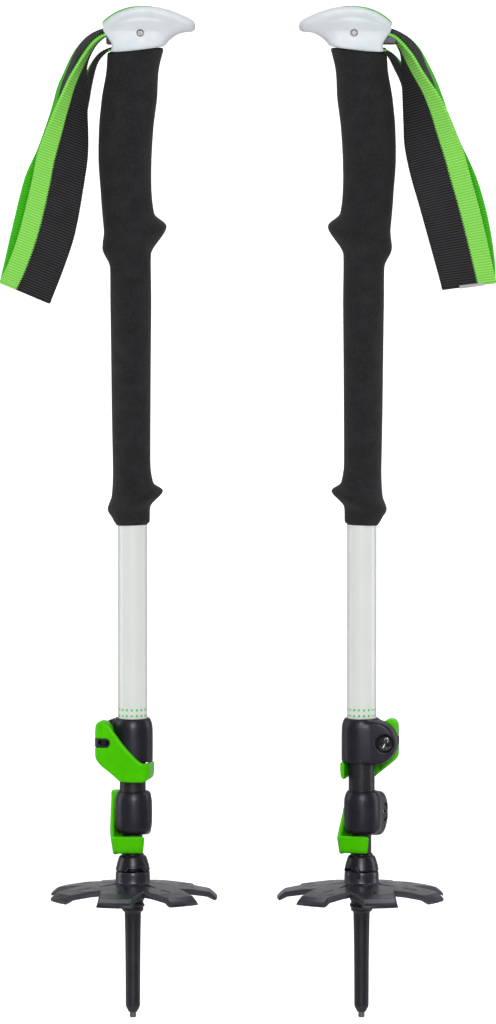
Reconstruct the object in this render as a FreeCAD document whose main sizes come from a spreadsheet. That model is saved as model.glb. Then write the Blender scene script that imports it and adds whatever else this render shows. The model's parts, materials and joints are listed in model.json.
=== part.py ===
import FreeCAD, Part
import os
import Sketcher

# A pair of three-section trekking poles, collapsed and standing side by side.
# Millimetres, +Z up, origin midway between the two tips at their lowest points.
# A pole is drawn once on its own axis, with the beak of its grip towards +X and
# its strap towards -X. The left pole is moved to -X; the right one is turned
# half a turn about Z and moved to +X, so the two beaks face each other.

os.makedirs("parts", exist_ok=True)
doc = FreeCAD.newDocument("TrekkingPoles")
Vector = FreeCAD.Vector
Rotation = FreeCAD.Rotation
Placement = FreeCAD.Placement

# ---------------------------------------------------------------- driving sizes

DRIVING = {
    # the pair
    "pole_spacing": 140.0,
    # three telescoping tubes: outer radius, wall, both ends
    "upper_radius": 9.0,
    "middle_radius": 8.0,
    "lower_radius": 6.0,
    "tube_wall": 0.8,
    "upper_end": 165.5,
    "upper_top": 590.0,
    "middle_end": 118.0,
    "middle_top": 572.0,
    "lower_end": 90.5,
    "lower_top": 554.0,
    "bush_height": 3.0,
    "bush_wall": 2.0,
    "plug_depth": 12.0,
    "bush_clearance": 0.1,
    # clearances
    "running_gap": 0.2,
    "seat_gap": 0.05,
    # pommel
    "pommel_half_width": 14.5,
    "pommel_floor": 593.1,
    "pommel_top": 620.2,
    "chamber_floor": 598.2,
    "chamber_roof": 609.6,
    "chamber_half_width": 10.5,
    "inlay_half_width": 5.0,
    "pin_radius": 1.9,
    "pin_forward": 5.0,
    "pin_height": 604.9,
    "pin_room": 5.0,
    "pin_inset": 0.6,
    "pin_chamfer": 0.4,
    # plug between the pommel and the upper tube
    "stem_bore": 4.0,
    "stem_depth": 14.0,
    "stem_flange": 2.4,
    "stem_collar_radius": 7.9,
    "stem_collar_height": 7.0,
    # strap
    "strap_half_depth": 11.0,
    "webbing": 1.9,
    "wedge_half_width": 8.5,
    "left_wedge_reach": 19.9,
    "right_wedge_reach": 23.4,
    # lever clamps: height of the screw axis, collar radius, lever face distance
    "upper_lock_height": 170.2,
    "upper_collar_radius": 11.8,
    "upper_face": 15.0,
    "upper_screw_offset": 16.2,
    "upper_head_radius": 6.3,
    "lower_lock_height": 125.2,
    "lower_collar_radius": 10.9,
    "lower_face": 13.9,
    "lower_screw_offset": 15.4,
    "lower_head_radius": 5.6,
    "collar_above": 14.8,
    "collar_below": 12.3,
    "boss_radius": 13.5,
    "boss_offset": 9.0,
    "slit_width": 1.2,
    "boss_inset": 0.4,
    "tube_stop": 3.3,
    "ear_back": 1.3,
    "ear_front": 1.4,
    "lever_thickness": 2.9,
    "lever_slot": 3.0,
    "barrel_radius": 3.2,
    "barrel_half_length": 8.8,
    "barrel_chamfer": 0.5,
    "barrel_end_gap": 0.4,
    "screw_radius": 2.0,
    "screw_head_radius": 5.2,
    "screw_head_height": 3.2,
    "head_gap": 0.4,
    "head_sink": 2.6,
    "screw_tail": 2.4,
    "socket_arm": 2.6,
    "socket_half_width": 0.6,
    "socket_depth": 1.8,
    "wear_plate": 0.8,
    "plate_reach": 4.8,
    "plate_half_height": 6.4,
    "plate_gap": 0.3,
    # how far each clamp is turned about its tube, seen from above
    "left_upper_turn": -10.0,
    "right_upper_turn": 170.0,
    "left_lower_turn": -92.0,
    "right_lower_turn": -107.0,
    # ferrule, tip and basket
    "bell_top": 100.0,
    "bell_bottom": 89.6,
    "bell_radius": 10.1,
    "thread_crest": 7.2,
    "thread_root": 6.5,
    "thread_end": 65.0,
    "ferrule_radius": 5.0,
    "ferrule_end_radius": 4.4,
    "foot_seat": 20.0,
    "tip_radius": 1.95,
    "tip_bare": 3.4,
    "tip_length": 14.0,
    "tip_floor_gap": 0.2,
    "ferrule_floor": 0.6,
    "thread_pitch": 4.2,
    "basket_radius": 51.5,
    "basket_hub_radius": 10.3,
    "basket_arms": 7.0,
    "basket_notch": 33.5,
}

# The foam sleeve, ring by ring from the bottom: height, centre, half length
# front to back, half width and how far the ring tips up at the front, degrees.
FOAM_RINGS = [
    (303.6, 0.2, 10.2, 10.2, 0.0),
    (311.0, -0.6, 12.3, 11.8, 18.0),
    (318.5, 1.7, 17.8, 15.0, 18.0),
    (325.0, 0.0, 13.4, 12.4, 18.0),
    (340.0, -0.5, 11.6, 11.6, 8.0),
    (379.0, -0.8, 11.9, 11.8, 0.0),
    (434.0, -0.9, 12.5, 12.0, 4.0),
    (464.5, -1.1, 13.2, 12.4, 18.0),
    (479.5, 1.3, 20.6, 16.5, 18.0),
    (489.0, -2.0, 16.2, 13.8, 18.0),
    (507.0, -3.7, 15.6, 13.8, 8.0),
    (526.0, -4.4, 16.2, 14.0, 0.0),
    (545.0, -3.7, 16.6, 14.2, 0.0),
    (563.0, -1.8, 16.9, 14.2, 0.0),
    (580.0, 0.1, 16.1, 14.0, 3.0),
    (593.5, 2.2, 17.3, 13.8, 5.0),
]

THREAD_TURNS = 5
BORE_OVERRUN = 13.0  # how far a boring tool runs past the piece at each end

sheet = doc.addObject("Spreadsheet::Sheet", "sizes")
for row, (alias, number) in enumerate(DRIVING.items(), start=1):
    sheet.set(f"A{row}", alias)
    sheet.set(f"B{row}", str(number))
    sheet.setAlias(f"B{row}", alias)
doc.recompute()


class Size:
    """A number with the spreadsheet formula it comes from."""

    def __init__(self, formula, number):
        self.formula = formula
        self.number = number

    def _with(self, sign, other, number):
        return Size(f"({self.formula} {sign} {as_size(other).formula})", number)

    def __add__(self, other):
        return self._with("+", other, self.number + as_size(other).number)

    def __sub__(self, other):
        return self._with("-", other, self.number - as_size(other).number)

    def __mul__(self, other):
        return self._with("*", other, self.number * as_size(other).number)

    def __truediv__(self, other):
        return self._with("/", other, self.number / as_size(other).number)

    def __rsub__(self, other):
        return as_size(other) - self

    def __neg__(self):
        return as_size(0.0) - self

    __radd__ = __add__
    __rmul__ = __mul__


def as_size(value):
    return value if isinstance(value, Size) else Size(f"({value})", float(value))


def cell(alias):
    return Size(f"sizes.{alias}", float(sheet.get(alias)))


def bind(thing, path, value):
    thing.setExpression(path, as_size(value).formula)


# ---------------------------------------------------------------- shape helpers

def origin_plane(body, role):
    return next(item for item in body.Origin.OriginFeatures if item.Role == role)


def outline_sketch(body, name, role, loops, offset=0.0, turn=0.0):
    """Closed polygons on an origin plane, every corner bound to the sheet."""
    sketch = body.newObject("Sketcher::SketchObject", name)
    sketch.AttachmentSupport = [(origin_plane(body, role), "")]
    sketch.MapMode = "FlatFace"
    offset = as_size(offset)
    sketch.AttachmentOffset = Placement(Vector(0, 0, offset.number), Rotation(Vector(0, 0, 1), turn))
    bind(sketch, "AttachmentOffset.Base.z", offset)
    first = 0
    for loop in loops:
        corners = [(as_size(x), as_size(y)) for x, y in loop]
        count = len(corners)
        for here in range(count):
            start = corners[here]
            end = corners[(here + 1) % count]
            sketch.addGeometry(Part.LineSegment(
                Vector(start[0].number, start[1].number, 0),
                Vector(end[0].number, end[1].number, 0)))
        for here in range(count):
            after = first + (here + 1) % count
            sketch.addConstraint(Sketcher.Constraint("Coincident", first + here, 2, after, 1))
            for kind, value in zip(("DistanceX", "DistanceY"), corners[here]):
                index = sketch.addConstraint(Sketcher.Constraint(
                    kind, -1, 1, first + here, 1, value.number))
                bind(sketch, f"Constraints[{index}]", value)
        first += count
    return sketch


def turned(name, profile):
    """A body turned about Z from a (radius, height) profile."""
    body = doc.addObject("PartDesign::Body", name)
    sketch = outline_sketch(body, name + "_profile", "XZ_Plane", [profile])
    turn = body.newObject("PartDesign::Revolution", name + "_turned")
    turn.Profile = sketch
    turn.ReferenceAxis = (sketch, ["V_Axis"])
    turn.Angle = 360
    body.Tip = turn
    return body


def chamfered_rod(radius, half, chamfer):
    """The (radius, height) profile of a rod with both ends chamfered."""
    return [(0, -half), (radius - chamfer, -half), (radius, chamfer - half),
            (radius, half - chamfer), (radius - chamfer, half), (0, half)]


def extruded(name, role, loops, low, high):
    """A body padded from an outline, between two distances along the plane's normal."""
    body = doc.addObject("PartDesign::Body", name)
    sketch = outline_sketch(body, name + "_outline", role, loops, offset=low)
    pad = body.newObject("PartDesign::Pad", name + "_pad")
    pad.Profile = sketch
    pad.Length = as_size(high).number - as_size(low).number
    bind(pad, "Length", as_size(high) - low)
    body.Tip = pad
    return body


AXIS_TURNS = {
    "Z": Rotation(),
    "Y": Rotation(Vector(1, 0, 0), -90),
}


def cylinder(name, radius, start, length, axis="Z"):
    """A rod from a start point along +Z or +Y."""
    rod = doc.addObject("Part::Cylinder", name)
    rod.Placement = Placement(Vector(), AXIS_TURNS[axis])
    bind(rod, "Radius", radius)
    bind(rod, "Height", length)
    for letter, value in zip("xyz", start):
        bind(rod, f"Placement.Base.{letter}", value)
    return rod


def block(name, low, high):
    """A box between two opposite corners."""
    brick = doc.addObject("Part::Box", name)
    for letter, side, start, end in zip("xyz", ("Length", "Width", "Height"), low, high):
        bind(brick, f"Placement.Base.{letter}", start)
        bind(brick, side, as_size(end) - start)
    return brick


def fused(name, pieces):
    union = doc.addObject("Part::MultiFuse", name)
    union.Shapes = pieces
    union.Refine = True
    return union


def shared(name, pieces):
    overlap = doc.addObject("Part::MultiCommon", name)
    overlap.Shapes = pieces
    overlap.Refine = True
    return overlap


def carved(name, base, tools):
    tool = tools[0] if len(tools) == 1 else fused(name + "_tools", tools)
    result = doc.addObject("Part::Cut", name)
    result.Base = base
    result.Tool = tool
    result.Refine = True
    return result


NODES = []


def keep(piece, label, placement):
    """Names a finished piece, puts it in place and lists it for export."""
    piece.Label = label
    piece.Placement = placement * piece.Placement
    NODES.append(piece)


# ---------------------------------------------------------------- tubes

def tube(name, radius, low, high):
    wall = cell("tube_wall")
    return turned(name, [(radius - wall, low), (radius, low), (radius, high), (radius - wall, high)])


def top_bush(name, tube_radius, outer_tube_radius, top):
    """A plug in the top of an inner tube, with a flange that guides it in the outer tube."""
    inside = tube_radius - cell("tube_wall") - cell("seat_gap")
    flange = outer_tube_radius - cell("tube_wall") - cell("bush_clearance")
    bore = inside - cell("bush_wall")
    bottom = top - cell("plug_depth")
    peak = top + cell("bush_height")
    return turned(name, [
        (bore, bottom), (inside, bottom), (inside, top), (flange, top), (flange, peak), (bore, peak)])


# ---------------------------------------------------------------- grip

def grip_stem(name):
    """The plug that joins the pommel to the top of the upper tube."""
    plug = cell("upper_radius") - cell("tube_wall") - cell("seat_gap")
    bore = cell("stem_bore")
    collar = cell("stem_collar_radius")
    top = cell("upper_top")
    bottom = top - cell("stem_depth")
    flange = top + cell("stem_flange")
    peak = top + cell("stem_collar_height")
    return turned(name, [
        (bore, bottom), (plug, bottom), (plug, top), (cell("upper_radius"), top),
        (cell("upper_radius"), flange), (collar, flange), (collar, peak), (bore, peak)])


def foam_grip(name):
    """One long foam sleeve: the shaped handle, its two tilted ridges and the lower sleeve."""
    rings = []
    for number, (height, centre, half_length, half_width, tilt) in enumerate(FOAM_RINGS):
        ring = doc.addObject("Part::Ellipse", f"{name}_ring_{number}")
        ring.MajorRadius = half_length
        ring.MinorRadius = half_width
        ring.Placement = Placement(Vector(centre, 0, height), Rotation(Vector(0, 1, 0), -tilt))
        rings.append(ring)
    sleeve = doc.addObject("Part::Loft", name + "_sleeve")
    sleeve.Sections = rings
    sleeve.Solid = True
    sleeve.Ruled = True
    low = FOAM_RINGS[0][0] - BORE_OVERRUN
    high = FOAM_RINGS[-1][0] + BORE_OVERRUN
    bore = cylinder(name + "_bore", cell("upper_radius") + cell("seat_gap"), (0, 0, low), high - low)
    return carved(name, sleeve, [bore])


def pommel_side(name, half_width):
    """The pommel's side outline: a rounded back, a long crown and a drooping beak."""
    floor = cell("pommel_floor")
    top = cell("pommel_top")
    return extruded(name, "XZ_Plane", [[
        (-12.9, floor), (-5.0, floor + 0.2), (13.2, floor + 2.4), (20.1, floor + 3.4),
        (21.6, floor + 5.6), (24.6, floor + 8.4), (28.6, floor + 10.7), (32.5, floor + 11.5),
        (36.6, floor + 11.7), (38.2, floor + 13.4), (38.2, floor + 16.4), (36.6, top - 8.4),
        (32.0, top - 6.0), (25.6, top - 3.4), (19.0, top - 1.5), (12.4, top - 0.3),
        (5.0, top), (-2.0, top - 0.9), (-7.0, top - 2.4), (-12.0, top - 4.9),
        (-16.2, top - 8.0), (-18.4, top - 10.8), (-18.2, top - 13.4), (-15.8, top - 17.6),
        (-12.6, top - 22.2)]], -half_width, half_width)


def pommel_plan(name):
    """The pommel seen from above: round behind, narrowing to the beak."""
    wide = cell("pommel_half_width")
    half = [(-18.6, wide * 0.5), (-16.0, wide * 0.78), (-9.0, wide * 0.95), (2.0, wide),
            (14.0, wide * 0.97), (26.0, wide * 0.82), (34.0, wide * 0.62), (38.4, wide * 0.4)]
    other = [(x, -y) for x, y in reversed(half)]
    return extruded(name, "XY_Plane", [half + other], 585, 625)


def pommel_end(name):
    """The pommel seen from behind: upright cheeks under a domed crown."""
    wide = cell("pommel_half_width")
    top = cell("pommel_top")
    half = [(wide * 0.92, top - 28.0), (wide, top - 16.0), (wide * 0.97, top - 9.0),
            (wide * 0.8, top - 4.2), (wide * 0.5, top - 1.3), (wide * 0.2, top + 0.1)]
    other = [(-y, z) for y, z in reversed(half)]
    return extruded(name, "YZ_Plane", [half + other], -25, 45)


def crown_band(name):
    """The band along the crown that the soft inlay fills."""
    top = cell("pommel_top")
    half = cell("inlay_half_width")
    return extruded(name, "XZ_Plane", [[
        (-19.0, top - 9.4), (-19.0, top + 1.0), (12.0, top + 1.0), (12.0, top - 1.4),
        (5.0, top - 1.3), (-2.0, top - 2.2), (-7.0, top - 3.7), (-12.0, top - 6.2)]], -half, half)


def pommel_and_inlay(name):
    wide = cell("pommel_half_width")

    def blank(word):
        outlines = [pommel_side(f"{name}_{word}_side", wide + 1),
                    pommel_plan(f"{name}_{word}_plan"), pommel_end(f"{name}_{word}_end")]
        return shared(f"{name}_{word}", outlines)

    chamber_half = cell("chamber_half_width")
    chamber = block(name + "_chamber", (-25, -chamber_half, cell("chamber_floor")),
                    (cell("pin_forward") + cell("pin_room"), chamber_half, cell("chamber_roof")))
    socket_floor = cell("pommel_floor") - 5
    socket = cylinder(name + "_socket", cell("stem_collar_radius") + cell("seat_gap"),
                      (0, 0, socket_floor),
                      cell("upper_top") + cell("stem_collar_height") + 0.1 - socket_floor)
    pin_hole = cylinder(name + "_pin_hole", cell("pin_radius") + cell("seat_gap"),
                        (cell("pin_forward"), -20, cell("pin_height")), 40, "Y")
    shell = carved(name + "_shell", blank("white"),
                   [chamber, socket, pin_hole, crown_band(name + "_band")])
    inlay = shared(name + "_inlay_shape", [blank("green"), crown_band(name + "_inlay_band")])
    return shell, inlay


def strap_pin(name):
    radius = cell("pin_radius")
    half = cell("pommel_half_width") - cell("pin_inset")
    return turned(name, chamfered_rod(radius, half, cell("pin_chamfer")))


def strap_wedge(name, reach):
    """The wedge that nips the strap in the mouth of the pommel."""
    floor = cell("chamber_floor")
    half = cell("wedge_half_width")
    return extruded(name, "XZ_Plane", [[
        (-reach, floor + 0.8), (-reach, floor + 4.2), (1.0 - reach, floor + 5.2),
        (-7.0, floor + 3.4), (-7.0, floor + 1.2)]], -half, half)


def strap_webbing(name):
    """The wrist loop: two flat runs of webbing that part to let the hand through."""
    side = extruded(name + "_side", "XZ_Plane", [[
        (-20.4, 604.9), (-20.4, 608.6), (-31.5, 600.0), (-43.5, 577.0), (-54.0, 553.0),
        (-64.0, 531.0), (-71.0, 510.0), (-77.5, 480.0), (-81.2, 455.0), (-78.5, 450.0),
        (-52.0, 440.5), (-49.0, 441.5), (-41.5, 466.0), (-34.0, 486.0), (-28.5, 510.0),
        (-26.6, 545.0), (-27.0, 575.0), (-27.5, 595.0), (-24.6, 604.2)]], -20, 20)
    deep = cell("strap_half_depth")
    inner = deep - cell("webbing")
    outer_half = [(1.6, 612.0), (2.2, 600.0), (5.6, 585.0), (deep - 1.2, 560.0), (deep, 525.0),
                  (deep - 1.2, 490.0), (deep - 4.5, 465.0), (3.6, 450.0), (2.8, 436.0)]
    inner_half = [(0.6, 583.0), (inner - 1.4, 560.0), (inner, 525.0),
                  (inner - 1.4, 490.0), (inner - 4.6, 465.0), (1.0, 454.0)]
    loops = [half + [(-y, z) for y, z in reversed(half)] for half in (outer_half, inner_half)]
    loop = extruded(name + "_loop", "YZ_Plane", loops, -90, -15)
    return shared(name, [side, loop])


# ---------------------------------------------------------------- lever clamp
# A clamp is drawn round its tube with the screw axis at height 0, its boss
# towards -X, its lever on the -Y side and its screw head on the +Y side.

def clamp_collar(name, collar, screw, grip_bore, pass_bore):
    """A split collar: a rounded sleeve and a round boss, cut by a slit into two ears."""
    above = cell("collar_above")
    below = cell("collar_below")
    sleeve = turned(name + "_sleeve", [
        (0, -below), (collar - 1.0, -below), (collar, 1.0 - below), (collar, above - 4.2),
        (collar - 0.7, above - 1.6), (collar - 2.0, above), (0, above)])
    boss_radius = cell("boss_radius")
    boss = doc.addObject("PartDesign::Body", name + "_boss")
    front = collar - cell("boss_inset")
    profile = outline_sketch(boss, name + "_boss_profile", "XZ_Plane", [[
        (0, -cell("ear_back")), (boss_radius - 0.6, -cell("ear_back")),
        (boss_radius, 0.6 - cell("ear_back")), (boss_radius, front - 2.4),
        (boss_radius - 0.7, front - 0.7), (boss_radius - 2.4, front), (0, front)]])
    spin = boss.newObject("PartDesign::Revolution", name + "_boss_turned")
    spin.Profile = profile
    spin.ReferenceAxis = (profile, ["V_Axis"])
    spin.Angle = 360
    boss.Tip = spin
    boss.Placement = Placement(Vector(), AXIS_TURNS["Y"])
    bind(boss, "Placement.Base.x", -cell("boss_offset"))
    slit_end = cell("ear_front") + cell("slit_width")
    tools = [
        cylinder(name + "_grip_bore", grip_bore, (0, 0, cell("tube_stop") - below), 40),
        cylinder(name + "_pass_bore", pass_bore, (0, 0, -30), 60),
        block(name + "_slit", (-30, cell("ear_front"), -20), (-4, slit_end, 20)),
        cylinder(name + "_screw_hole", cell("screw_radius") + cell("running_gap"),
                 (-screw, -20, 0), 40, "Y"),
        cylinder(name + "_counterbore", cell("screw_head_radius") + cell("head_gap"),
                 (-screw, front - cell("head_sink"), 0), 10, "Y"),
    ]
    return carved(name, fused(name + "_blank", [sleeve, boss]), tools)


def lever_side(name, screw):
    """The lever's side outline: a broad cam end, sweeping down to a tab under the collar."""
    low = -cell("collar_below")
    left = -(screw + cell("barrel_radius") + 3.1)
    return extruded(name, "XZ_Plane", [[
        (left, 9.4), (left + 1.6, 11.0), (-17.6, 12.8), (-14.6, 12.7), (-12.2, 11.0),
        (-8.6, 6.4), (-2.9, -1.4), (3.2, -8.2), (7.0, low + 0.6), (8.4, low - 0.4),
        (12.6, low - 0.4), (12.9, low - 1.2), (12.5, -19.8), (7.6, -23.7), (6.4, -24.0),
        (-4.6, -24.0), (-6.4, -23.0), (-8.4, -21.4), (-18.4, -13.2), (left + 0.9, -10.0),
        (left + 0.4, -7.8)]], -30, 30)


def lever_plan(name, face, screw):
    """The lever seen from above: a flat plate that turns round the tube into a hooked tab."""
    inner = face - cell("lever_thickness")
    return extruded(name, "XY_Plane", [[
        (-screw, -face), (7.8, -face), (9.6, 0.7 - face), (11.6, 2.6 - face), (12.5, 4.6 - face),
        (12.5, 4.4), (11.9, 6.4), (10.6, 7.6), (9.6, 7.6), (9.5, 5.0 - face),
        (8.9, 0.9 - inner), (7.2, -inner), (-screw, -inner)]], -30, 20)


def clamp_lever(name, face, screw, head_radius):
    """The cam lever, bored for its barrel nut and slotted for the screw."""
    pivot = face - head_radius
    head = cylinder(name + "_cam", head_radius, (-screw, -pivot, -30), 50)
    body = fused(name + "_body", [lever_plan(name + "_plan", face, screw), head])
    half_slot = cell("lever_slot")
    slot_end = -screw - 0.4
    tools = [
        cylinder(name + "_bore", cell("barrel_radius") + cell("running_gap"),
                 (-screw, -pivot, -30), 30 + cell("barrel_half_length") + cell("barrel_end_gap")),
        block(name + "_slot", (-35, -25, -half_slot), (slot_end, 10, half_slot)),
        cylinder(name + "_slot_end", half_slot, (slot_end, -25, 0), 35, "Y"),
    ]
    return carved(name, shared(name + "_blank", [lever_side(name + "_side", screw), body]), tools)


def clamp_barrel(name):
    """The upright barrel nut that the lever turns on and the screw is threaded into."""
    radius = cell("barrel_radius")
    half = cell("barrel_half_length")
    barrel = turned(name + "_round", chamfered_rod(radius, half, cell("barrel_chamfer")))
    hole = cylinder(name + "_thread", cell("screw_radius") + cell("seat_gap"), (0, -10, 0), 20, "Y")
    return carved(name, barrel, [hole])


def clamp_screw(name, length):
    """A domed screw with a cross socket, its head upwards and its seat at height 0."""
    head = cell("screw_head_radius")
    tall = cell("screw_head_height")
    shank = cell("screw_radius")
    blank = turned(name + "_turned_blank", [
        (0, -length), (shank - 0.5, -length), (shank, 0.5 - length), (shank, 0), (head, 0),
        (head, tall * 0.45), (head - 0.5, tall * 0.75), (head - 1.6, tall * 0.95),
        (head - 3.0, tall), (0, tall)])
    arm = cell("socket_arm")
    half = cell("socket_half_width")
    floor = tall - cell("socket_depth")
    arms = [block(name + "_socket_x", (-arm, -half, floor), (arm, half, tall + 1)),
            block(name + "_socket_y", (-half, -arm, floor), (half, arm, tall + 1))]
    return carved(name, blank, arms)


def clamp_wear_plate(name, collar, screw):
    """The thin plate between the cam and the ear."""
    back = cell("ear_back")
    half = cell("plate_half_height")
    plate = block(name + "_blank",
                  (-screw - cell("plate_reach"), -(back + cell("wear_plate")), -half),
                  (-collar - cell("plate_gap"), -back, half))
    hole = cylinder(name + "_hole", cell("screw_radius") + cell("head_gap"), (-screw, -6, 0), 10, "Y")
    return carved(name, plate, [hole])


# ---------------------------------------------------------------- foot

def tip_ferrule(name):
    """The moulded foot: a bell over the lower tube, a thread for the basket, a long cone."""
    bell = cell("bell_radius")
    top = cell("bell_top")
    bottom = cell("bell_bottom")
    socket_floor = bottom + cell("ferrule_floor")
    root = cell("thread_root")
    crest = cell("thread_crest")
    end = cell("thread_end")
    shank = cell("ferrule_end_radius")
    bare = cell("tip_bare")
    lower = cell("lower_radius") + cell("seat_gap")
    tip = cell("tip_radius") + cell("seat_gap")
    tip_floor = cell("tip_length") + cell("tip_floor_gap")
    profile = [(0, tip_floor), (0, socket_floor), (lower, socket_floor), (lower, top), (7.9, top),
               (8.5, top - 1.6), (bell - 0.5, top - 7.0), (bell, bottom + 1.2), (bell, bottom),
               (root, bottom)]
    for turn in range(THREAD_TURNS):
        ridge = bottom - 3.0 - cell("thread_pitch") * turn
        profile += [(root, ridge), (crest, ridge - 0.8), (crest, ridge - 1.6), (root, ridge - 2.4)]
    profile += [(root, end + 0.8), (cell("ferrule_radius"), end), (shank, 7.0 + cell("foot_seat")),
                (shank, 7.0), (2.6, bare), (tip, bare), (tip, tip_floor)]
    return turned(name, profile)


def carbide_tip(name):
    """The hard tip: a short rod with a hollowed biting end."""
    radius = cell("tip_radius")
    return turned(name, [(0, 0.9), (0.7, 0.7), (radius - 0.6, 0), (radius - 0.25, 0), (radius, 0.5),
                         (radius, cell("tip_length")), (0, cell("tip_length"))])


def basket(name):
    """A seven-armed snow basket that droops from its threaded hub."""
    bore = cell("thread_crest") + cell("running_gap")
    hub = cell("basket_hub_radius")
    rim = cell("basket_radius")
    body = turned(name, [
        (bore, 79.2), (bore, 89.2), (hub - 0.5, 89.2), (hub, 88.6), (hub, 84.0),
        (hub + 2.0, 82.6), (rim - 5.5, 79.6), (rim, 75.2), (rim, 73.4), (rim - 6.5, 76.4),
        (hub + 3.0, 79.2)])
    doc.recompute()
    whole = body.Shape.Volume
    arms = int(cell("basket_arms").number)
    cuts = [
        ("notch", 180.0 / arms, [[(cell("basket_notch"), -1.6), (cell("basket_notch"), 1.6),
                                  (rim + 3.0, 15.6), (rim + 3.0, -15.6)]]),
        ("slits", 0.0, [[(hub + 0.9, -1.7), (hub + 0.9, 1.7), (hub + 12.5, 0.15), (hub + 12.5, -0.15)],
                        [(28.0, -0.6), (28.0, 0.6), (37.0, 0.6), (37.0, -0.6)]]),
    ]
    for word, turn, loops in cuts:
        sketch = outline_sketch(body, f"{name}_{word}", "XY_Plane", loops, offset=95.0, turn=turn)
        pocket = body.newObject("PartDesign::Pocket", f"{name}_{word}_cut")
        pocket.Profile = sketch
        pocket.Type = "ThroughAll"
        ring = body.newObject("PartDesign::PolarPattern", f"{name}_{word}_ring")
        ring.Originals = [pocket]
        ring.Axis = (sketch, ["N_Axis"])
        ring.Angle = 360
        bind(ring, "Occurrences", cell("basket_arms"))
        body.Tip = ring
        doc.recompute()
        if body.Shape.Volume >= whole:
            raise RuntimeError(f"{name}: {word} cut nothing")
        whole = body.Shape.Volume
    return body


# ---------------------------------------------------------------- one pole

CLAMPS = {
    # clamp: the tube it is fixed to and the tube that slides in it
    "upper": ("upper_radius", "middle_radius"),
    "lower": ("middle_radius", "lower_radius"),
}


def build_clamp(side, level, pole):
    fixed, sliding = (cell(alias) for alias in CLAMPS[level])
    collar = cell(f"{level}_collar_radius")
    face = cell(f"{level}_face")
    screw = cell(f"{level}_screw_offset")
    head_radius = cell(f"{level}_head_radius")
    turn = cell(f"{side}_{level}_turn").number
    height = cell(f"{level}_lock_height").number
    clamp = Placement(Vector(pole.Base.x, 0, height), Rotation(Vector(0, 0, 1), turn))
    name = f"{side}_{level}_clamp"
    collar_piece = clamp_collar(name + "_collar_shape", collar, screw,
                                fixed + cell("seat_gap"), sliding + cell("running_gap"))
    keep(collar_piece, name + "_collar", clamp)
    keep(clamp_lever(name + "_lever_shape", face, screw, head_radius), name + "_lever", clamp)
    pivot = Placement(Vector(-screw.number, head_radius.number - face.number, 0), Rotation())
    keep(clamp_barrel(name + "_barrel_shape"), name + "_barrel", clamp * pivot)
    seat = (collar - cell("boss_inset") - cell("head_sink")).number
    reach = seat + (face - head_radius + cell("screw_tail")).number
    screw_place = Placement(Vector(-screw.number, seat, 0), AXIS_TURNS["Y"])
    keep(clamp_screw(name + "_screw_shape", reach), name + "_screw", clamp * screw_place)
    keep(clamp_wear_plate(name + "_plate_shape", collar, screw), name + "_wear_plate", clamp)


def build_pole(side, pole):
    def add(piece, label, local=Placement()):
        keep(piece, f"{side}_{label}", pole * local)

    add(tube(side + "_upper", cell("upper_radius"), cell("upper_end"), cell("upper_top")),
        "upper_shaft")
    add(tube(side + "_middle", cell("middle_radius"), cell("middle_end"), cell("middle_top")),
        "middle_shaft")
    add(tube(side + "_lower", cell("lower_radius"), cell("lower_end"), cell("lower_top")),
        "lower_shaft")
    add(top_bush(side + "_middle_plug", cell("middle_radius"), cell("upper_radius"),
                 cell("middle_top")), "middle_bushing")
    add(top_bush(side + "_lower_plug", cell("lower_radius"), cell("middle_radius"),
                 cell("lower_top")), "lower_bushing")
    add(grip_stem(side + "_stem"), "grip_stem")
    add(foam_grip(side + "_foam"), "foam_grip")
    shell, inlay = pommel_and_inlay(side + "_knob")
    add(shell, "pommel")
    add(inlay, "pommel_inlay")
    pin_place = Placement(Vector(cell("pin_forward").number, 0, cell("pin_height").number),
                          AXIS_TURNS["Y"])
    add(strap_pin(side + "_pin"), "strap_pin", pin_place)
    add(strap_wedge(side + "_wedge", cell(f"{side}_wedge_reach")), "strap_wedge")
    add(strap_webbing(side + "_webbing"), "strap_webbing")
    for level in CLAMPS:
        build_clamp(side, level, pole)
    add(tip_ferrule(side + "_ferrule"), "tip_ferrule")
    add(carbide_tip(side + "_carbide"), "carbide_tip")
    add(basket(side + "_snow_basket"), "basket")


half_spacing = cell("pole_spacing").number / 2
build_pole("left", Placement(Vector(-half_spacing, 0, 0), Rotation()))
build_pole("right", Placement(Vector(half_spacing, 0, 0), Rotation(Vector(0, 0, 1), 180)))
doc.recompute()

# ---------------------------------------------------------------- check and write

for thing in doc.Objects:
    if "Invalid" in thing.State or "Error" in thing.State:
        raise RuntimeError(f"{thing.Label} failed: {thing.State}")
for node in NODES:
    if node.Shape.isNull() or not node.Shape.isValid() or not node.Shape.Solids:
        raise RuntimeError(f"{node.Label} has no valid solid")
    node.Shape.exportStep(f"parts/{node.Label}.step")
    print(f"{node.Label:32s} solids {len(node.Shape.Solids)} volume {node.Shape.Volume:10.1f}")
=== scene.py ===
import json
import math

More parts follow.
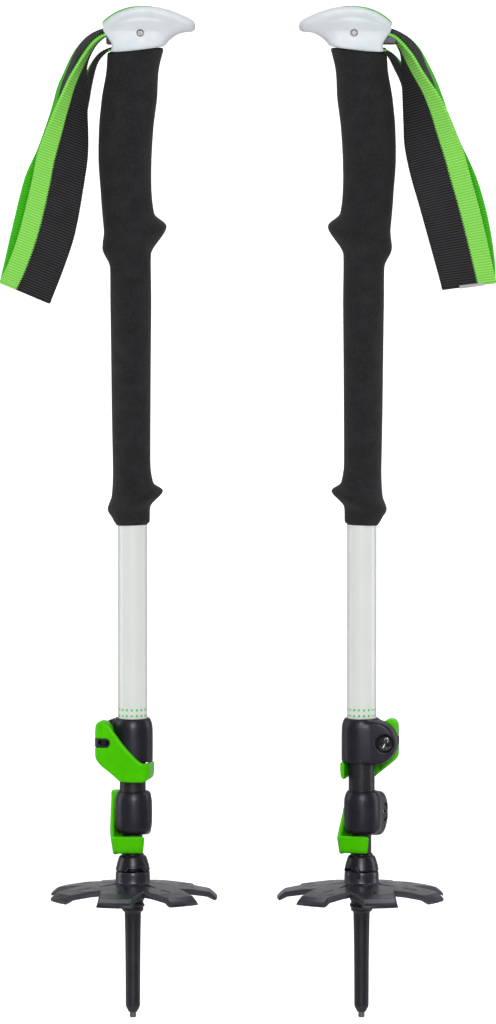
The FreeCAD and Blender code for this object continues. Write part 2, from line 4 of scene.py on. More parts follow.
import bpy
import numpy as np
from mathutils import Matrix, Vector


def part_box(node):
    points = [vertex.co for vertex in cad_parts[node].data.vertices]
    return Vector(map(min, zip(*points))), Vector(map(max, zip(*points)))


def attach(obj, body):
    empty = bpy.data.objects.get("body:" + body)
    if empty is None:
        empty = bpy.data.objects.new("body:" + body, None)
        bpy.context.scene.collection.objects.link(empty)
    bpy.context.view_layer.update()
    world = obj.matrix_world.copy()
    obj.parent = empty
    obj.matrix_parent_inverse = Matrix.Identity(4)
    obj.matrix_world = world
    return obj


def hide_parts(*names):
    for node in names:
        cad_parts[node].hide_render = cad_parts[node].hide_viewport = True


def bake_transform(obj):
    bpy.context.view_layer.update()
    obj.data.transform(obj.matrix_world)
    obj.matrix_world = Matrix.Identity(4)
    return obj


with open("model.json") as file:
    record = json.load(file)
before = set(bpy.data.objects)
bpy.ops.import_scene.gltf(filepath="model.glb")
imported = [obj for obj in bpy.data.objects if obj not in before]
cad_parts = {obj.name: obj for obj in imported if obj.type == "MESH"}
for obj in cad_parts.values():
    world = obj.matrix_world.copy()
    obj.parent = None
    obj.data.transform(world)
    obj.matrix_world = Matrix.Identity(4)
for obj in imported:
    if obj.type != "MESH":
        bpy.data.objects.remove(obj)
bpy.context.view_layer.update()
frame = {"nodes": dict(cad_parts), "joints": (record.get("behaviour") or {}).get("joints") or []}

# A pair of telescoping trekking poles. Shapes are drawn in millimetres on one pole's
# own axis, with the beak of the grip towards +X, and then moved to each pole.

MM = 0.001
SIDES = ("left", "right")
JOINTS = {joint["name"]: joint for joint in frame["joints"]}


def middle(node):
    low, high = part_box(node)
    return (low + high) / 2


AXIS = {side: middle(f"{side}_upper_shaft").x / MM for side in SIDES}
TURN = {"left": 0.0, "right": math.pi}


# ---------------- numbers and curves

def smooth_min(a, b, width):
    share = np.clip(0.5 + 0.5 * (b - a) / width, 0, 1)
    return b * (1 - share) + a * share - width * share * (1 - share)


def smooth_max(a, b, width):
    return -smooth_min(-a, -b, width)


def smooth_step(value, low, high):
    share = np.clip((value - low) / (high - low), 0, 1)
    return share * share * (3 - 2 * share)


def spline(knots, values):
    """A smooth curve through values at rising knots, which never overshoots them."""
    knots = np.array(knots, float)
    values = np.array(values, float)
    steps = np.diff(knots)
    slopes = np.diff(values) / steps
    tangents = np.concatenate([slopes[:1], np.zeros(len(slopes) - 1), slopes[-1:]])
    product = slopes[1:] * slopes[:-1]
    rising = product > 0
    tangents[1:-1][rising] = 2 * product[rising] / (slopes[1:] + slopes[:-1])[rising]

    def curve(at):
        at = np.clip(at, knots[0], knots[-1])
        span = np.clip(np.searchsorted(knots, at) - 1, 0, len(steps) - 1)
        t = (at - knots[span]) / steps[span]
        start, end = values[span], values[span + 1]
        leave, arrive = tangents[span] * steps[span], tangents[span + 1] * steps[span]
        return (start * (1 + 2 * t) * (1 - t) ** 2 + leave * t * (1 - t) ** 2
                + end * t * t * (3 - 2 * t) + arrive * t * t * (t - 1))

    return curve


def cut_corners(points, rounds):
    """Chaikin's rounding of a closed polygon."""
    points = np.array(points, float)
    for _ in range(rounds):
        after = np.roll(points, -1, axis=0)
        points = np.stack([points * 0.75 + after * 0.25, points * 0.25 + after * 0.75], axis=1)
        points = points.reshape(-1, 2)
    return points


def outline(points, rounds=2):
    """The signed distance to a rounded closed polygon, as a function of (u, v)."""
    starts = cut_corners(points, rounds)
    ends = np.roll(starts, -1, axis=0)

    def distance(u, v):
        u, v = np.broadcast_arrays(u, v)
        nearest = np.full(u.shape, 1e9)
        inside = np.zeros(u.shape, bool)
        for (au, av), (bu, bv) in zip(starts, ends):
            eu, ev = bu - au, bv - av
            wu, wv = u - au, v - av
            t = np.clip((wu * eu + wv * ev) / (eu * eu + ev * ev + 1e-12), 0, 1)
            nearest = np.minimum(nearest, (wu - eu * t) ** 2 + (wv - ev * t) ** 2)
            if av != bv:
                inside ^= ((av > v) != (bv > v)) & (wu < eu * wv / ev)
        return np.where(inside, -1, 1) * np.sqrt(nearest)

    return distance


# ---------------- meshes

class Shape:
    """Points in millimetres, faces, and the outward direction at each point if known."""

    def __init__(self, points, faces, normals=None, values=None):
        self.points = np.asarray(points, float)
        self.faces = list(faces)
        self.normals = normals
        self.values = values or {}


def surface_cells(values):
    """The cells of a grid that the surface passes, and the mean crossing point in each."""
    inside = values < 0
    count = np.zeros(tuple(size - 1 for size in values.shape), int)
    corners = [(a, b, c) for a in (0, 1) for b in (0, 1) for c in (0, 1)]

    def shifted(array, corner):
        spans = zip(corner, array.shape)
        return array[tuple(slice(step, size - 1 + step) for step, size in spans)]

    for corner in corners:
        count += shifted(inside, corner)
    mixed = (count > 0) & (count < len(corners))
    total = np.zeros((int(mixed.sum()), 3))
    crossings = np.zeros(len(total))
    for axis in range(3):
        for corner in corners:
            if corner[axis]:
                continue
            other = tuple(1 if index == axis else step for index, step in enumerate(corner))
            start = shifted(values, corner)[mixed]
            end = shifted(values, other)[mixed]
            crosses = (start < 0) != (end < 0)
            share = np.where(crosses, start / np.where(crosses, start - end, 1), 0)
            place = np.tile(np.array(corner, float), (len(total), 1))
            place[:, axis] = share
            total += place * crosses[:, None]
            crossings += crosses
    return inside, mixed, total / crossings[:, None] + np.argwhere(mixed)


def gradient(field, points, reach):
    slopes = []
    for axis in range(3):
        step = np.zeros(3)
        step[axis] = reach
        slopes.append(field(*(points + step).T) - field(*(points - step).T))
    return np.stack(slopes, axis=1) / (2 * reach)


def net(field, low, high, step):
    """A quad mesh of the surface where field is nought, its points drawn close onto it."""
    axes = [np.arange(start - step, end + 2 * step, step) for start, end in zip(low, high)]
    grid = np.meshgrid(*axes, indexing="ij", sparse=True)
    values = np.broadcast_to(field(*grid), tuple(len(axis) for axis in axes))
    inside, mixed, cells = surface_cells(values)
    index = np.full(mixed.shape, -1)
    index[mixed] = np.arange(len(cells))
    faces = []
    for axis in range(3):
        one, two = (axis + 1) % 3, (axis + 2) % 3
        along = [slice(1, -1)] * 3
        along[axis] = slice(0, -1)
        start = inside[tuple(along)]
        along[axis] = slice(1, None)
        end = inside[tuple(along)]
        for leaving in (True, False):
            edges = np.argwhere((start != end) & (start == leaving))
            edges[:, one] += 1
            edges[:, two] += 1
            around = []
            for back_one, back_two in ((1, 1), (0, 1), (0, 0), (1, 0)):
                cell = edges.copy()
                cell[:, one] -= back_one
                cell[:, two] -= back_two
                around.append(index[tuple(cell.T)])
            quads = np.stack(around if leaving else around[::-1], axis=1)
            faces.append(quads)
    points = np.array([axis[0] for axis in axes]) + cells * step
    for _ in range(3):
        slope = gradient(field, points, step * 0.2)
        size = np.maximum((slope ** 2).sum(axis=1), 0.05)
        move = -field(*points.T)[:, None] * slope / size[:, None]
        points = points + np.clip(move, -0.6 * step, 0.6 * step)
    slope = gradient(field, points, step * 0.35)
    normals = slope / np.maximum(np.linalg.norm(slope, axis=1), 1e-6)[:, None]
    return Shape(points, np.concatenate(faces).tolist(), normals)


def grid_faces(rows, columns, close_rows=False):
    """Quads between neighbouring rows of a closed ring of columns."""
    faces = []
    for row in range(rows if close_rows else rows - 1):
        here = row * columns
        after = ((row + 1) % rows) * columns
        for column in range(columns):
            beside = (column + 1) % columns
            faces.append([here + column, here + beside, after + beside, after + column])
    return faces


def moved(points, turn, offset):
    """Millimetre points turned about Z, moved, and given in metres."""
    cosine, sine = math.cos(turn), math.sin(turn)
    x, y, z = np.asarray(points, float).T
    return np.stack([cosine * x - sine * y + offset[0], sine * x + cosine * y + offset[1],
                     z + offset[2]], axis=1) * MM


def add_piece(name, shape, finish, turn=0.0, offset=(0, 0, 0), mirror=False):
    """Makes a smooth mesh object from a shape in millimetres."""
    points, normals, faces = shape.points, shape.normals, shape.faces
    if mirror:
        points = points * (-1, 1, 1)
        faces = [face[::-1] for face in faces]
    mesh = bpy.data.meshes.new(name)
    mesh.from_pydata(moved(points, turn, offset).tolist(), [], faces)
    mesh.update()
    mesh.shade_smooth()
    if normals is not None:
        mesh.normals_split_custom_set_from_vertices(moved(normals / MM, turn, (0, 0, 0)).tolist())
    for key, values in shape.values.items():
        mesh.attributes.new(key, "FLOAT", "POINT").data.foreach_set("value", values)
    mesh.materials.append(finish.material)
    piece = bpy.data.objects.new(name, mesh)
    bpy.context.scene.collection.objects.link(piece)
    return piece


def on_pole(side, name, shape, look, body, slot, node=None, turn=None, height=0.0):
    """A hard piece of a pole, riding on its body, and standing in for a node if one is given."""
    turn = TURN[side] if turn is None else turn
    piece = add_piece(f"{side}_{name}", shape, FINISHES[look], turn, (AXIS[side], 0, height))
    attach(piece, f"{side}_{body}")
    if node:
        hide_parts(f"{side}_{node}")


# ---------------- materials

class Finish:
    """A Principled material, built node by node. Lengths in its patterns are metres."""

    def __init__(self, name, colour, roughness, **sockets):
        self.material = bpy.data.materials.new(name)
        self.material.use_nodes = True
        self.tree = self.material.node_tree
        self.shader = self.tree.nodes["Principled BSDF"]
        self.shader.inputs["Base Color"].default_value = (*colour, 1)
        self.shader.inputs["Roughness"].default_value = roughness
        for word, value in sockets.items():
            self.shader.inputs[word.replace("_", " ")].default_value = value
        self.place = self.add("ShaderNodeTexCoord").outputs["Object"]

    def add(self, kind, **settings):
        made = self.tree.nodes.new(kind)
        for key, value in settings.items():
            setattr(made, key, value)
        return made

    def feed(self, socket, value):
        if isinstance(value, bpy.types.NodeSocket):
            self.tree.links.new(value, socket)
        elif isinstance(value, tuple) and len(value) == 3 and socket.type == "RGBA":
            socket.default_value = (*value, 1)
        else:
            socket.default_value = value

    def calc(self, operation, *values):
        made = self.add("ShaderNodeMath", operation=operation)
        for socket, value in zip(made.inputs, values):
            self.feed(socket, value)
        return made.outputs[0]

    def axis(self, letter):
        made = self.add("ShaderNodeSeparateXYZ")
        self.feed(made.inputs[0], self.place)
        return made.outputs["XYZ".index(letter)]

    def value(self, attribute):
        return self.add("ShaderNodeAttribute", attribute_name=attribute).outputs["Fac"]

    def stretched(self, x, y, z):
        made = self.add("ShaderNodeVectorMath", operation="MULTIPLY")
        self.feed(made.inputs[0], self.place)
        made.inputs[1].default_value = (x, y, z)
        return made.outputs[0]

    def noise(self, size, detail=3.0, place=None):
        """Cloudy noise with blobs about this many metres across."""
        made = self.add("ShaderNodeTexNoise")
        self.feed(made.inputs["Vector"], place or self.place)
        made.inputs["Scale"].default_value = 1 / size
        made.inputs["Detail"].default_value = detail
        return made.outputs["Fac"]

    def cells(self, size, place=None):
        made = self.add("ShaderNodeTexVoronoi")
        self.feed(made.inputs["Vector"], place or self.place)
        made.inputs["Scale"].default_value = 1 / size
        return made.outputs["Distance"]

    def between(self, value, low, high, start=0.0, end=1.0):
        made = self.add("ShaderNodeMapRange", interpolation_type="SMOOTHSTEP")
        for socket, number in zip(made.inputs, (value, low, high, start, end)):
            self.feed(socket, number)
        return made.outputs[0]

    def mix(self, share, first, second):
        made = self.add("ShaderNodeMix", data_type="RGBA")
        self.feed(made.inputs[0], share)
        self.feed(made.inputs[6], first)
        self.feed(made.inputs[7], second)
        return made.outputs[2]

    def colour(self, value):
        self.feed(self.shader.inputs["Base Color"], value)

    def roughness(self, value):
        self.feed(self.shader.inputs["Roughness"], value)

    def bump(self, *layers):
        """Layers of (height, depth in metres), from broad to fine."""
        normal = None
        for height, depth in layers:
            made = self.add("ShaderNodeBump")
            made.inputs["Strength"].default_value = 1.0
            made.inputs["Distance"].default_value = depth
            self.feed(made.inputs["Height"], height)
            if normal is not None:
                self.feed(made.inputs["Normal"], normal)
            normal = made.outputs[0]
        self.feed(self.shader.inputs["Normal"], normal)


def foam_finish():
    """Closed-cell foam: near black, matt, softly mottled, with fine pores."""
    finish = Finish("foam", (0.018, 0.018, 0.019), 0.9, Specular_IOR_Level=0.2,
                    Sheen_Weight=0.06, Sheen_Roughness=0.6)
    cloud = finish.between(finish.noise(0.011, 4.0), 0.35, 0.7)
    grain = finish.between(finish.noise(0.0016, 2.0), 0.4, 0.75)
    base = finish.mix(cloud, (0.0160, 0.0155, 0.0175), (0.0195, 0.0190, 0.0215))
    base = finish.mix(finish.calc("MULTIPLY", grain, 0.35), base, (0.034, 0.033, 0.035))
    pore = finish.between(finish.cells(0.0042), 0.0, 0.07, 1.0, 0.0)
    finish.colour(finish.mix(finish.calc("MULTIPLY", pore, 0.5), base, (0.09, 0.09, 0.095)))
    finish.roughness(finish.between(cloud, 0.0, 1.0, 0.94, 0.82))
    finish.bump((finish.noise(0.006, 3.0), 0.00022), (finish.noise(0.0007, 2.0), 0.00007))
    return finish


def moulded_finish(name, dark, light, roughness, grain=0.00002, cloud=0.014, **sockets):
    """Moulded plastic: a faint flow of colour, fine spark texture, uneven gloss."""
    finish = Finish(name, light, roughness, **sockets)
    flow = finish.between(finish.noise(cloud, 3.0), 0.3, 0.7)
    finish.colour(finish.mix(flow, dark, light))
    smear = finish.noise(0.0045, 4.0)
    finish.roughness(finish.between(smear, 0.3, 0.75, roughness - 0.05, roughness + 0.06))
    finish.bump((finish.noise(0.02, 1.0), 0.0001), (finish.noise(0.00042, 2.0), grain))
    return finish


def metal_finish(name, colour, roughness, metallic, squeeze=(14, 14, 1)):
    """Turned or drawn metal with fine lines along the axis that is squeezed least."""
    finish = Finish(name, colour, roughness, Metallic=metallic)
    lines = finish.noise(0.004, 4.0, finish.stretched(*squeeze))
    dark = tuple(part * 0.72 for part in colour)
    finish.colour(finish.mix(finish.between(lines, 0.3, 0.7), dark, colour))
    finish.roughness(finish.between(lines, 0.3, 0.7, roughness + 0.08, roughness - 0.04))
    finish.bump((lines, 0.000012))
    return finish


def lacquer_finish(side, first_dot):
    """White lacquer with two rows of small green dots round the tube above the clamp."""
    white = (0.86, 0.89, 0.86)
    finish = Finish(f"lacquer_{side}", white, 0.3, Coat_Weight=0.35, Coat_Roughness=0.12)
    tint = finish.between(finish.noise(0.03, 2.0), 0.3, 0.7)
    base = finish.mix(tint, (0.83, 0.86, 0.83), white)
    x = finish.calc("SUBTRACT", finish.axis("X"), AXIS[side] * MM)
    front = finish.calc("MULTIPLY", finish.axis("Y"), -1.0)
    angle = finish.calc("SUBTRACT", finish.calc("ARCTAN2", x, front), math.radians(first_dot))
    sector = math.tau / DOTS_ROUND
    turns = finish.calc("ADD", finish.calc("DIVIDE", angle, sector), DOTS_ROUND + 2.5)
    share = finish.calc("FRACT", turns)
    round_tube = finish.calc("MULTIPLY", finish.calc("SUBTRACT", share, 0.5), sector * TUBE_RADIUS)
    dots = None
    for height in DOT_ROWS:
        up = finish.calc("SUBTRACT", finish.axis("Z"), height)
        far = finish.calc("SQRT", finish.calc("ADD", finish.calc("POWER", round_tube, 2.0),
                                              finish.calc("POWER", up, 2.0)))
        dot = finish.between(far, DOT_RADIUS * 0.72, DOT_RADIUS * 1.2, 1.0, 0.0)
        dots = dot if dots is None else finish.calc("MAXIMUM", dots, dot)
    finish.colour(finish.mix(dots, base, DOT_GREEN))
    finish.roughness(finish.between(finish.noise(0.006, 3.0), 0.3, 0.7, 0.3, 0.34))
    finish.bump((finish.noise(0.03, 1.0), 0.00002), (finish.noise(0.0006, 2.0), 0.000005))
    return finish


def anodised_finish():
    """Dark satin anodising with fine drawn lines along the tube."""
    finish = Finish("anodised", (0.034, 0.034, 0.038), 0.4, Metallic=0.25, Specular_IOR_Level=0.5)
    lines = finish.noise(0.0022, 4.0, finish.stretched(1, 1, 0.04))
    lines_share = finish.between(lines, 0.3, 0.7)
    finish.colour(finish.mix(lines_share, (0.018, 0.018, 0.021), (0.026, 0.026, 0.030)))
    finish.roughness(finish.between(finish.noise(0.005, 3.0), 0.3, 0.7, 0.34, 0.46))
    finish.bump((lines, 0.00001))
    return finish


def webbing_finish():
    """Ribbed webbing: a green stripe along one edge, black elsewhere; its green has a painted
    highlight on the outer face and painted shade on the inner face, and its ribs have painted
    highlights on their crests and painted shade in their valleys.
    """
    finish = Finish("webbing", (0.02, 0.02, 0.02), 0.78, Specular_IOR_Level=0.25,
                    Sheen_Weight=0.05, Sheen_Roughness=0.45)
    along = finish.value("along")
    across = finish.value("across")
    outer = finish.value("outer")
    phase = finish.calc("MULTIPLY", along, math.tau / RIB_PITCH)
    # ridge rises to 1 on the ribs' crests and falls to 0 in their valleys. Below, it paints
    # highlight on the crests and shade in the valleys of the green and the black, and it also
    # drives the ribs' bump.
    ridge = finish.between(finish.calc("COSINE", phase), -0.9, 0.8)
    thread = finish.calc("SINE", finish.calc("MULTIPLY", across, math.tau / THREAD_PITCH))
    scallop = finish.calc("MULTIPLY", finish.calc("COSINE", phase), 0.5)
    edge = finish.calc("ADD", finish.calc("SUBTRACT", across, STRIPE_WIDTH), scallop)
    black_share = finish.between(edge, -0.12, 0.12)
    wear = finish.between(finish.noise(0.009, 3.0), 0.3, 0.75)
    # Two greens, each mixed by ridge with painted highlight on the rib crests and painted shade in
    # the valleys. The first is the outer face's green, painted lighter as if lit. The second
    # (deep) is the inner face's green, painted darker as if shaded.
    lit_face_green = finish.mix(ridge, (0.20, 0.68, 0.06), (0.36, 0.86, 0.17))
    deep = finish.mix(ridge, (0.025, 0.40, 0.002), (0.06, 0.62, 0.006))
    green = finish.mix(outer, deep, lit_face_green)
    green = finish.mix(finish.calc("MULTIPLY", wear, 0.12), green, (0.20, 0.76, 0.06))
    # The black is painted lighter on the rib crests as highlight and darker in the valleys as
    # shade.
    black = finish.mix(ridge, (0.006, 0.006, 0.007), (0.040, 0.038, 0.042))
    finish.colour(finish.mix(black_share, green, black))
    finish.roughness(finish.between(wear, 0.0, 1.0, 0.72, 0.86))
    weave = finish.calc("ADD", finish.calc("MULTIPLY", thread, 0.5), ridge)
    finish.bump((weave, 0.00007), (finish.noise(0.0004, 2.0), 0.00003))
    return finish


def patch_finish():
    """A plain pale woven patch."""
    finish = Finish("patch", (0.62, 0.62, 0.62), 0.8, Sheen_Weight=0.2)
    rows = finish.calc("SINE", finish.calc("MULTIPLY", finish.value("along"), math.tau / 0.55))
    columns = finish.calc("SINE", finish.calc("MULTIPLY", finish.value("across"), math.tau / 0.55))
    weave = finish.between(finish.calc("MULTIPLY", rows, columns), -0.8, 0.8)
    finish.colour(finish.mix(weave, (0.50, 0.50, 0.51), (0.74, 0.74, 0.73)))
    finish.bump((weave, 0.00006), (finish.noise(0.0006, 2.0), 0.00003))
    return finish


TUBE_RADIUS = (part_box("left_upper_shaft")[1].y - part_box("left_upper_shaft")[0].y) / 2
DOTS_ROUND = 18
DOT_RADIUS = 0.00085
DOT_ROWS = (0.1901, 0.1865)
DOT_GREEN = (0.13, 0.72, 0.10)
FIRST_DOT = {"left": -3.0, "right": 8.5}
RIB_PITCH = 1.6
THREAD_PITCH = 1.1
STRIPE_WIDTH = 11.5

GREEN_DARK = (0.072, 0.60, 0.001)
GREEN_LIGHT = (0.080, 0.66, 0.001)
COOL = (0.88, 0.88, 1.0, 1.0)
FINISHES = {
    "foam": foam_finish(),
    "pommel": moulded_finish("pommel", (0.70, 0.74, 0.78), (0.76, 0.80, 0.83), 0.42,
                             Subsurface_Weight=0.05, Coat_Weight=0.15, Coat_Roughness=0.3),
    "lever": moulded_finish("lever", GREEN_DARK, GREEN_LIGHT, 0.32, 0.000006,
                            Specular_IOR_Level=0.26, Specular_Tint=(0.6, 1.0, 0.2, 1.0)),
    "inlay": moulded_finish("inlay", (0.08, 0.50, 0.03), (0.11, 0.58, 0.04), 0.55),
    "wedge": moulded_finish("wedge", (0.040, 0.040, 0.048), (0.060, 0.060, 0.070), 0.42, 0.00003),
    "clamp": moulded_finish("clamp", (0.0105, 0.0100, 0.0150), (0.0145, 0.0140, 0.0205), 0.38,
                            Specular_IOR_Level=0.45, Specular_Tint=COOL),
    "foot": moulded_finish("foot", (0.0130, 0.0125, 0.0165), (0.0180, 0.0175, 0.0225), 0.38,
                           Specular_IOR_Level=0.55, Specular_Tint=COOL),
    "bell": moulded_finish("bell", (0.008, 0.0075, 0.0105), (0.012, 0.0115, 0.015), 0.36, 0.000006,
                           Specular_Tint=COOL),
    "basket": moulded_finish("basket", (0.015, 0.0145, 0.021), (0.024, 0.023, 0.032), 0.34,
                             0.00004, Specular_IOR_Level=0.7, Specular_Tint=COOL),
    "bush": moulded_finish("bush", (0.52, 0.52, 0.48), (0.60, 0.60, 0.56), 0.5),
    "left_lacquer": lacquer_finish("left", FIRST_DOT["left"]),
    "right_lacquer": lacquer_finish("right", FIRST_DOT["right"]),
    "anodised": anodised_finish(),
    "steel": metal_finish("steel", (0.34, 0.33, 0.32), 0.45, 0.8),
    "carbide": metal_finish("carbide", (0.23, 0.21, 0.19), 0.45, 0.85),
    "oxide": metal_finish("black_oxide", (0.020, 0.020, 0.022), 0.2, 0.3, (1, 1, 14)),
    "gloss": moulded_finish("screw_black", (0.008, 0.008, 0.009), (0.012, 0.012, 0.013), 0.16,
                            0.000003, Specular_IOR_Level=0.7, Coat_Weight=0.5,
                            Coat_Roughness=0.06),
    "webbing": webbing_finish(),
    "patch": patch_finish(),
}

# The CAD pieces that stay, each with its finish.
KEPT = {
    "upper_shaft": "lacquer",
    "middle_shaft": "anodised",
    "lower_shaft": "anodised",
    "middle_bushing": "bush",
    "lower_bushing": "bush",
    "grip_stem": "bush",
    "strap_pin": "steel",
    "upper_clamp_barrel": "oxide",
    "lower_clamp_barrel": "oxide",
    "upper_clamp_wear_plate": "steel",
    "lower_clamp_wear_plate": "steel",
    "carbide_tip": "carbide",
}


def finish_kept_nodes():
    for side in SIDES:
        for node, word in KEPT.items():
            finish = FINISHES.get(word) or FINISHES[f"{side}_{word}"]
            mesh = frame["nodes"][f"{side}_{node}"].data
            mesh.materials.clear()
            mesh.materials.append(finish.material)
            mesh.polygons.foreach_set("material_index", [0] * len(mesh.polygons))


# ---------------- foam grip

# height, centre, half length front to back, half width, tip up at the front in degrees
FOAM_RINGS = [
    (303.6, 0.2, 10.2, 10.2, 0.0),
    (311.0, -0.6, 12.3, 11.8, 18.0),
    (318.5, 1.7, 17.8, 15.0, 18.0),
    (325.0, 0.0, 13.4, 12.4, 18.0),
    (340.0, -0.5, 11.6, 11.6, 8.0),
    (379.0, -0.8, 11.9, 11.8, 0.0),
    (434.0, -0.9, 12.5, 12.0, 4.0),
    (464.5, -1.1, 13.2, 12.4, 18.0),
    (479.5, 1.3, 20.6, 16.5, 18.0),
    (489.0, -2.0, 16.2, 13.8, 18.0),
    (507.0, -3.7, 15.6, 13.8, 8.0),
    (526.0, -4.4, 16.2, 14.0, 0.0),
    (545.0, -3.7, 16.6, 14.2, 0.0),
    (563.0, -1.8, 16.9, 14.2, 0.0),
    (580.0, 0.1, 16.1, 14.0, 3.0),
    (593.5, 2.2, 17.3, 13.8, 5.0),
]
FOAM_ROWS = 230
FOAM_COLUMNS = 96
FOAM_EDGE = 1.3  # radius of the rounded rim at each end
FOAM_BORE = 9.1


def foam_shape():
    """The sleeve: rings that follow the outline, a rounded rim at each end, and the bore."""
    heights, *columns = np.array(FOAM_RINGS).T
    centre, length, width, tilt = (spline(heights, column) for column in columns)
    angles = np.linspace(0, math.tau, FOAM_COLUMNS, endpoint=False)
    rows = []

    def ring(height, shrink, rise):
        lean = math.radians(float(tilt(height)))
        reach = (float(length(height)) - shrink) * np.cos(angles)
        rows.append(np.stack([float(centre(height)) + reach * math.cos(lean),
                              (float(width(height)) - shrink) * np.sin(angles),
                              height + rise + reach * math.sin(lean)], axis=1))

    def rim(height, sign):
        for angle in np.linspace(0, math.pi / 2, 6)[1:]:
            ring(height - sign * FOAM_EDGE, FOAM_EDGE * (1 - math.cos(angle)),
                 sign * FOAM_EDGE * math.sin(angle))

    low, high = heights[0] + FOAM_EDGE, heights[-1] - FOAM_EDGE
    rim(heights[0], -1)
    rows.reverse()
    for height in np.linspace(low, high, FOAM_ROWS):
        ring(height, 0.0, 0.0)
    rim(heights[-1], 1)
    lean = math.radians(FOAM_RINGS[-1][4])
    for height, slope in ((heights[-1], lean), (heights[0], 0.0)):
        across = FOAM_BORE * np.cos(angles)
        rows.append(np.stack([across, FOAM_BORE * np.sin(angles),
                              height + across * math.sin(slope)], axis=1))
    return Shape(np.concatenate(rows), grid_faces(len(rows), FOAM_COLUMNS, close_rows=True))


# ---------------- pommel

POMMEL_FLOOR = 593.1
POMMEL_TOP = 620.2
PIN_PLACE = (5.0, 604.9)
PIN_HOLE = 1.98
MOUTH_END = 8.0
MOUTH_HALF_WIDTH = 9.9
MOUTH_LOW = 594.9
MOUTH_HIGH = 609.0
INLAY_HALF_WIDTH = 6.8
INLAY_END = 12.5
INLAY_START = 609.8
SOCKET_RADIUS = 8.0
SOCKET_TOP = 597.2
LINING_FLOOR = 593.9
LINING_MIDDLE = -10.4
POMMEL_STEP = 0.6

pommel_side = outline([
    (-13.4, POMMEL_FLOOR), (-5.0, POMMEL_FLOOR + 0.2), (13.2, POMMEL_FLOOR + 2.4),
    (20.1, POMMEL_FLOOR + 3.4), (21.6, POMMEL_FLOOR + 5.6), (24.6, POMMEL_FLOOR + 8.4),
    (28.6, POMMEL_FLOOR + 10.7), (32.5, POMMEL_FLOOR + 11.5), (36.9, POMMEL_FLOOR + 11.6),
    (38.6, POMMEL_FLOOR + 13.2), (38.5, POMMEL_FLOOR + 16.6), (36.8, POMMEL_TOP - 8.2),
    (32.0, POMMEL_TOP - 5.9), (25.6, POMMEL_TOP - 3.3), (19.0, POMMEL_TOP - 1.4),
    (12.4, POMMEL_TOP - 0.2), (5.0, POMMEL_TOP + 0.1), (-2.0, POMMEL_TOP - 0.8),
    (-7.0, POMMEL_TOP - 2.3), (-12.0, POMMEL_TOP - 4.8), (-16.4, POMMEL_TOP - 8.0),
    (-18.8, POMMEL_TOP - 10.9), (-18.0, POMMEL_TOP - 13.6), (-15.0, POMMEL_TOP - 18.0),
    (-12.2, POMMEL_TOP - 22.2), (-12.6, POMMEL_TOP - 25.2)], 2)
pommel_width = spline(
    (592.0, 596.5, 600.0, 603.0, 605.8, 608.5, 611.5, 615.0, 622.0),
    (14.0, 14.1, 13.9, 13.5, 13.3, 13.7, 14.3, 14.5, 14.5))
pommel_taper = spline(
    (-20.0, -16.0, -9.0, 2.0, 14.0, 26.0, 34.0, 39.0),
    (0.88, 0.93, 0.98, 1.0, 0.97, 0.82, 0.64, 0.46))


def pommel_blank(x, y, z):
    """The whole knob: the side outline, given width and rounded over at the edges."""
    side = pommel_side(x, z)
    cheek = np.abs(y) - pommel_width(z) * pommel_taper(x)
    crown = smooth_step(z, 604.0, 614.0)
    crown = np.maximum(crown, smooth_step(x, 12.0, 26.0) * 0.6)
    depth = 1.3 + 6.5 * crown
    reach = 1.3 + 8.3 * crown
    rounding = np.hypot(np.maximum(0, 1 + side / depth), np.maximum(0, 1 + cheek / reach)) - 1
    return rounding * depth


def inlay_zone(x, y, z):
    half_width = INLAY_HALF_WIDTH - 5.2 * smooth_step(x, -6.0, INLAY_END)
    return smooth_max(smooth_max(np.abs(y) - half_width, x - INLAY_END, 1.0), INLAY_START - z, 0.6)


def pommel_field(x, y, z):
    blank = pommel_blank(x, y, z)
    mouth = np.maximum(np.maximum(x - MOUTH_END, np.abs(y) - MOUTH_HALF_WIDTH),
                       np.abs(z - (MOUTH_LOW + MOUTH_HIGH) / 2) - (MOUTH_HIGH - MOUTH_LOW) / 2)
    blank = smooth_max(blank, -mouth, 0.9)
    hole = np.hypot(x - PIN_PLACE[0], z - PIN_PLACE[1]) - PIN_HOLE
    blank = smooth_max(blank, -hole, 0.7)
    channel = np.maximum(inlay_zone(x, y, z), -1.3 - pommel_blank(x, y, z))
    blank = smooth_max(blank, -channel, 0.25)
    socket = np.maximum(np.hypot(x, y) - SOCKET_RADIUS, z - SOCKET_TOP)
    return np.maximum(blank, -socket)


def inlay_field(x, y, z):
    blank = pommel_blank(x, y, z)
    skin = smooth_max(blank - 0.12, -1.2 - blank, 0.3)
    return smooth_max(skin, inlay_zone(x, y, z) + 0.08, 0.5)


def lining_field(x, y, z):
    """The thin green lip that lines the floor of the mouth."""
    body = smooth_max(np.abs(x - LINING_MIDDLE) - 4.2, np.abs(z - LINING_FLOOR) - 0.55, 0.5)
    return smooth_max(body, np.abs(y) - 9.7, 0.6)


# ---------------- strap wedge

WEDGE_HALF_WIDTH = 8.5
WEDGE_REACH = {"left": 15.8, "right": 21.6}


def wedge_field(side):
    reach = WEDGE_REACH[side]
    profile = outline([
        (-reach + 0.4, 597.2), (-reach, 598.6), (-reach, 601.4), (1.4 - reach, 603.0),
        (3.2 - reach, 603.2), (-7.0, 601.6), (-7.0, 598.4), (-11.0, 597.2)], 1)

    def field(x, y, z):
        body = smooth_max(profile(x, z), np.abs(y) - WEDGE_HALF_WIDTH, 1.6)
        rib = smooth_max(np.abs(x + reach - 2.6) - 0.35, np.abs(y) - 5.5, 0.5)
        return smooth_max(body, -np.maximum(rib, 601.9 - z), 0.4)

    return field


# ---------------- lever clamps

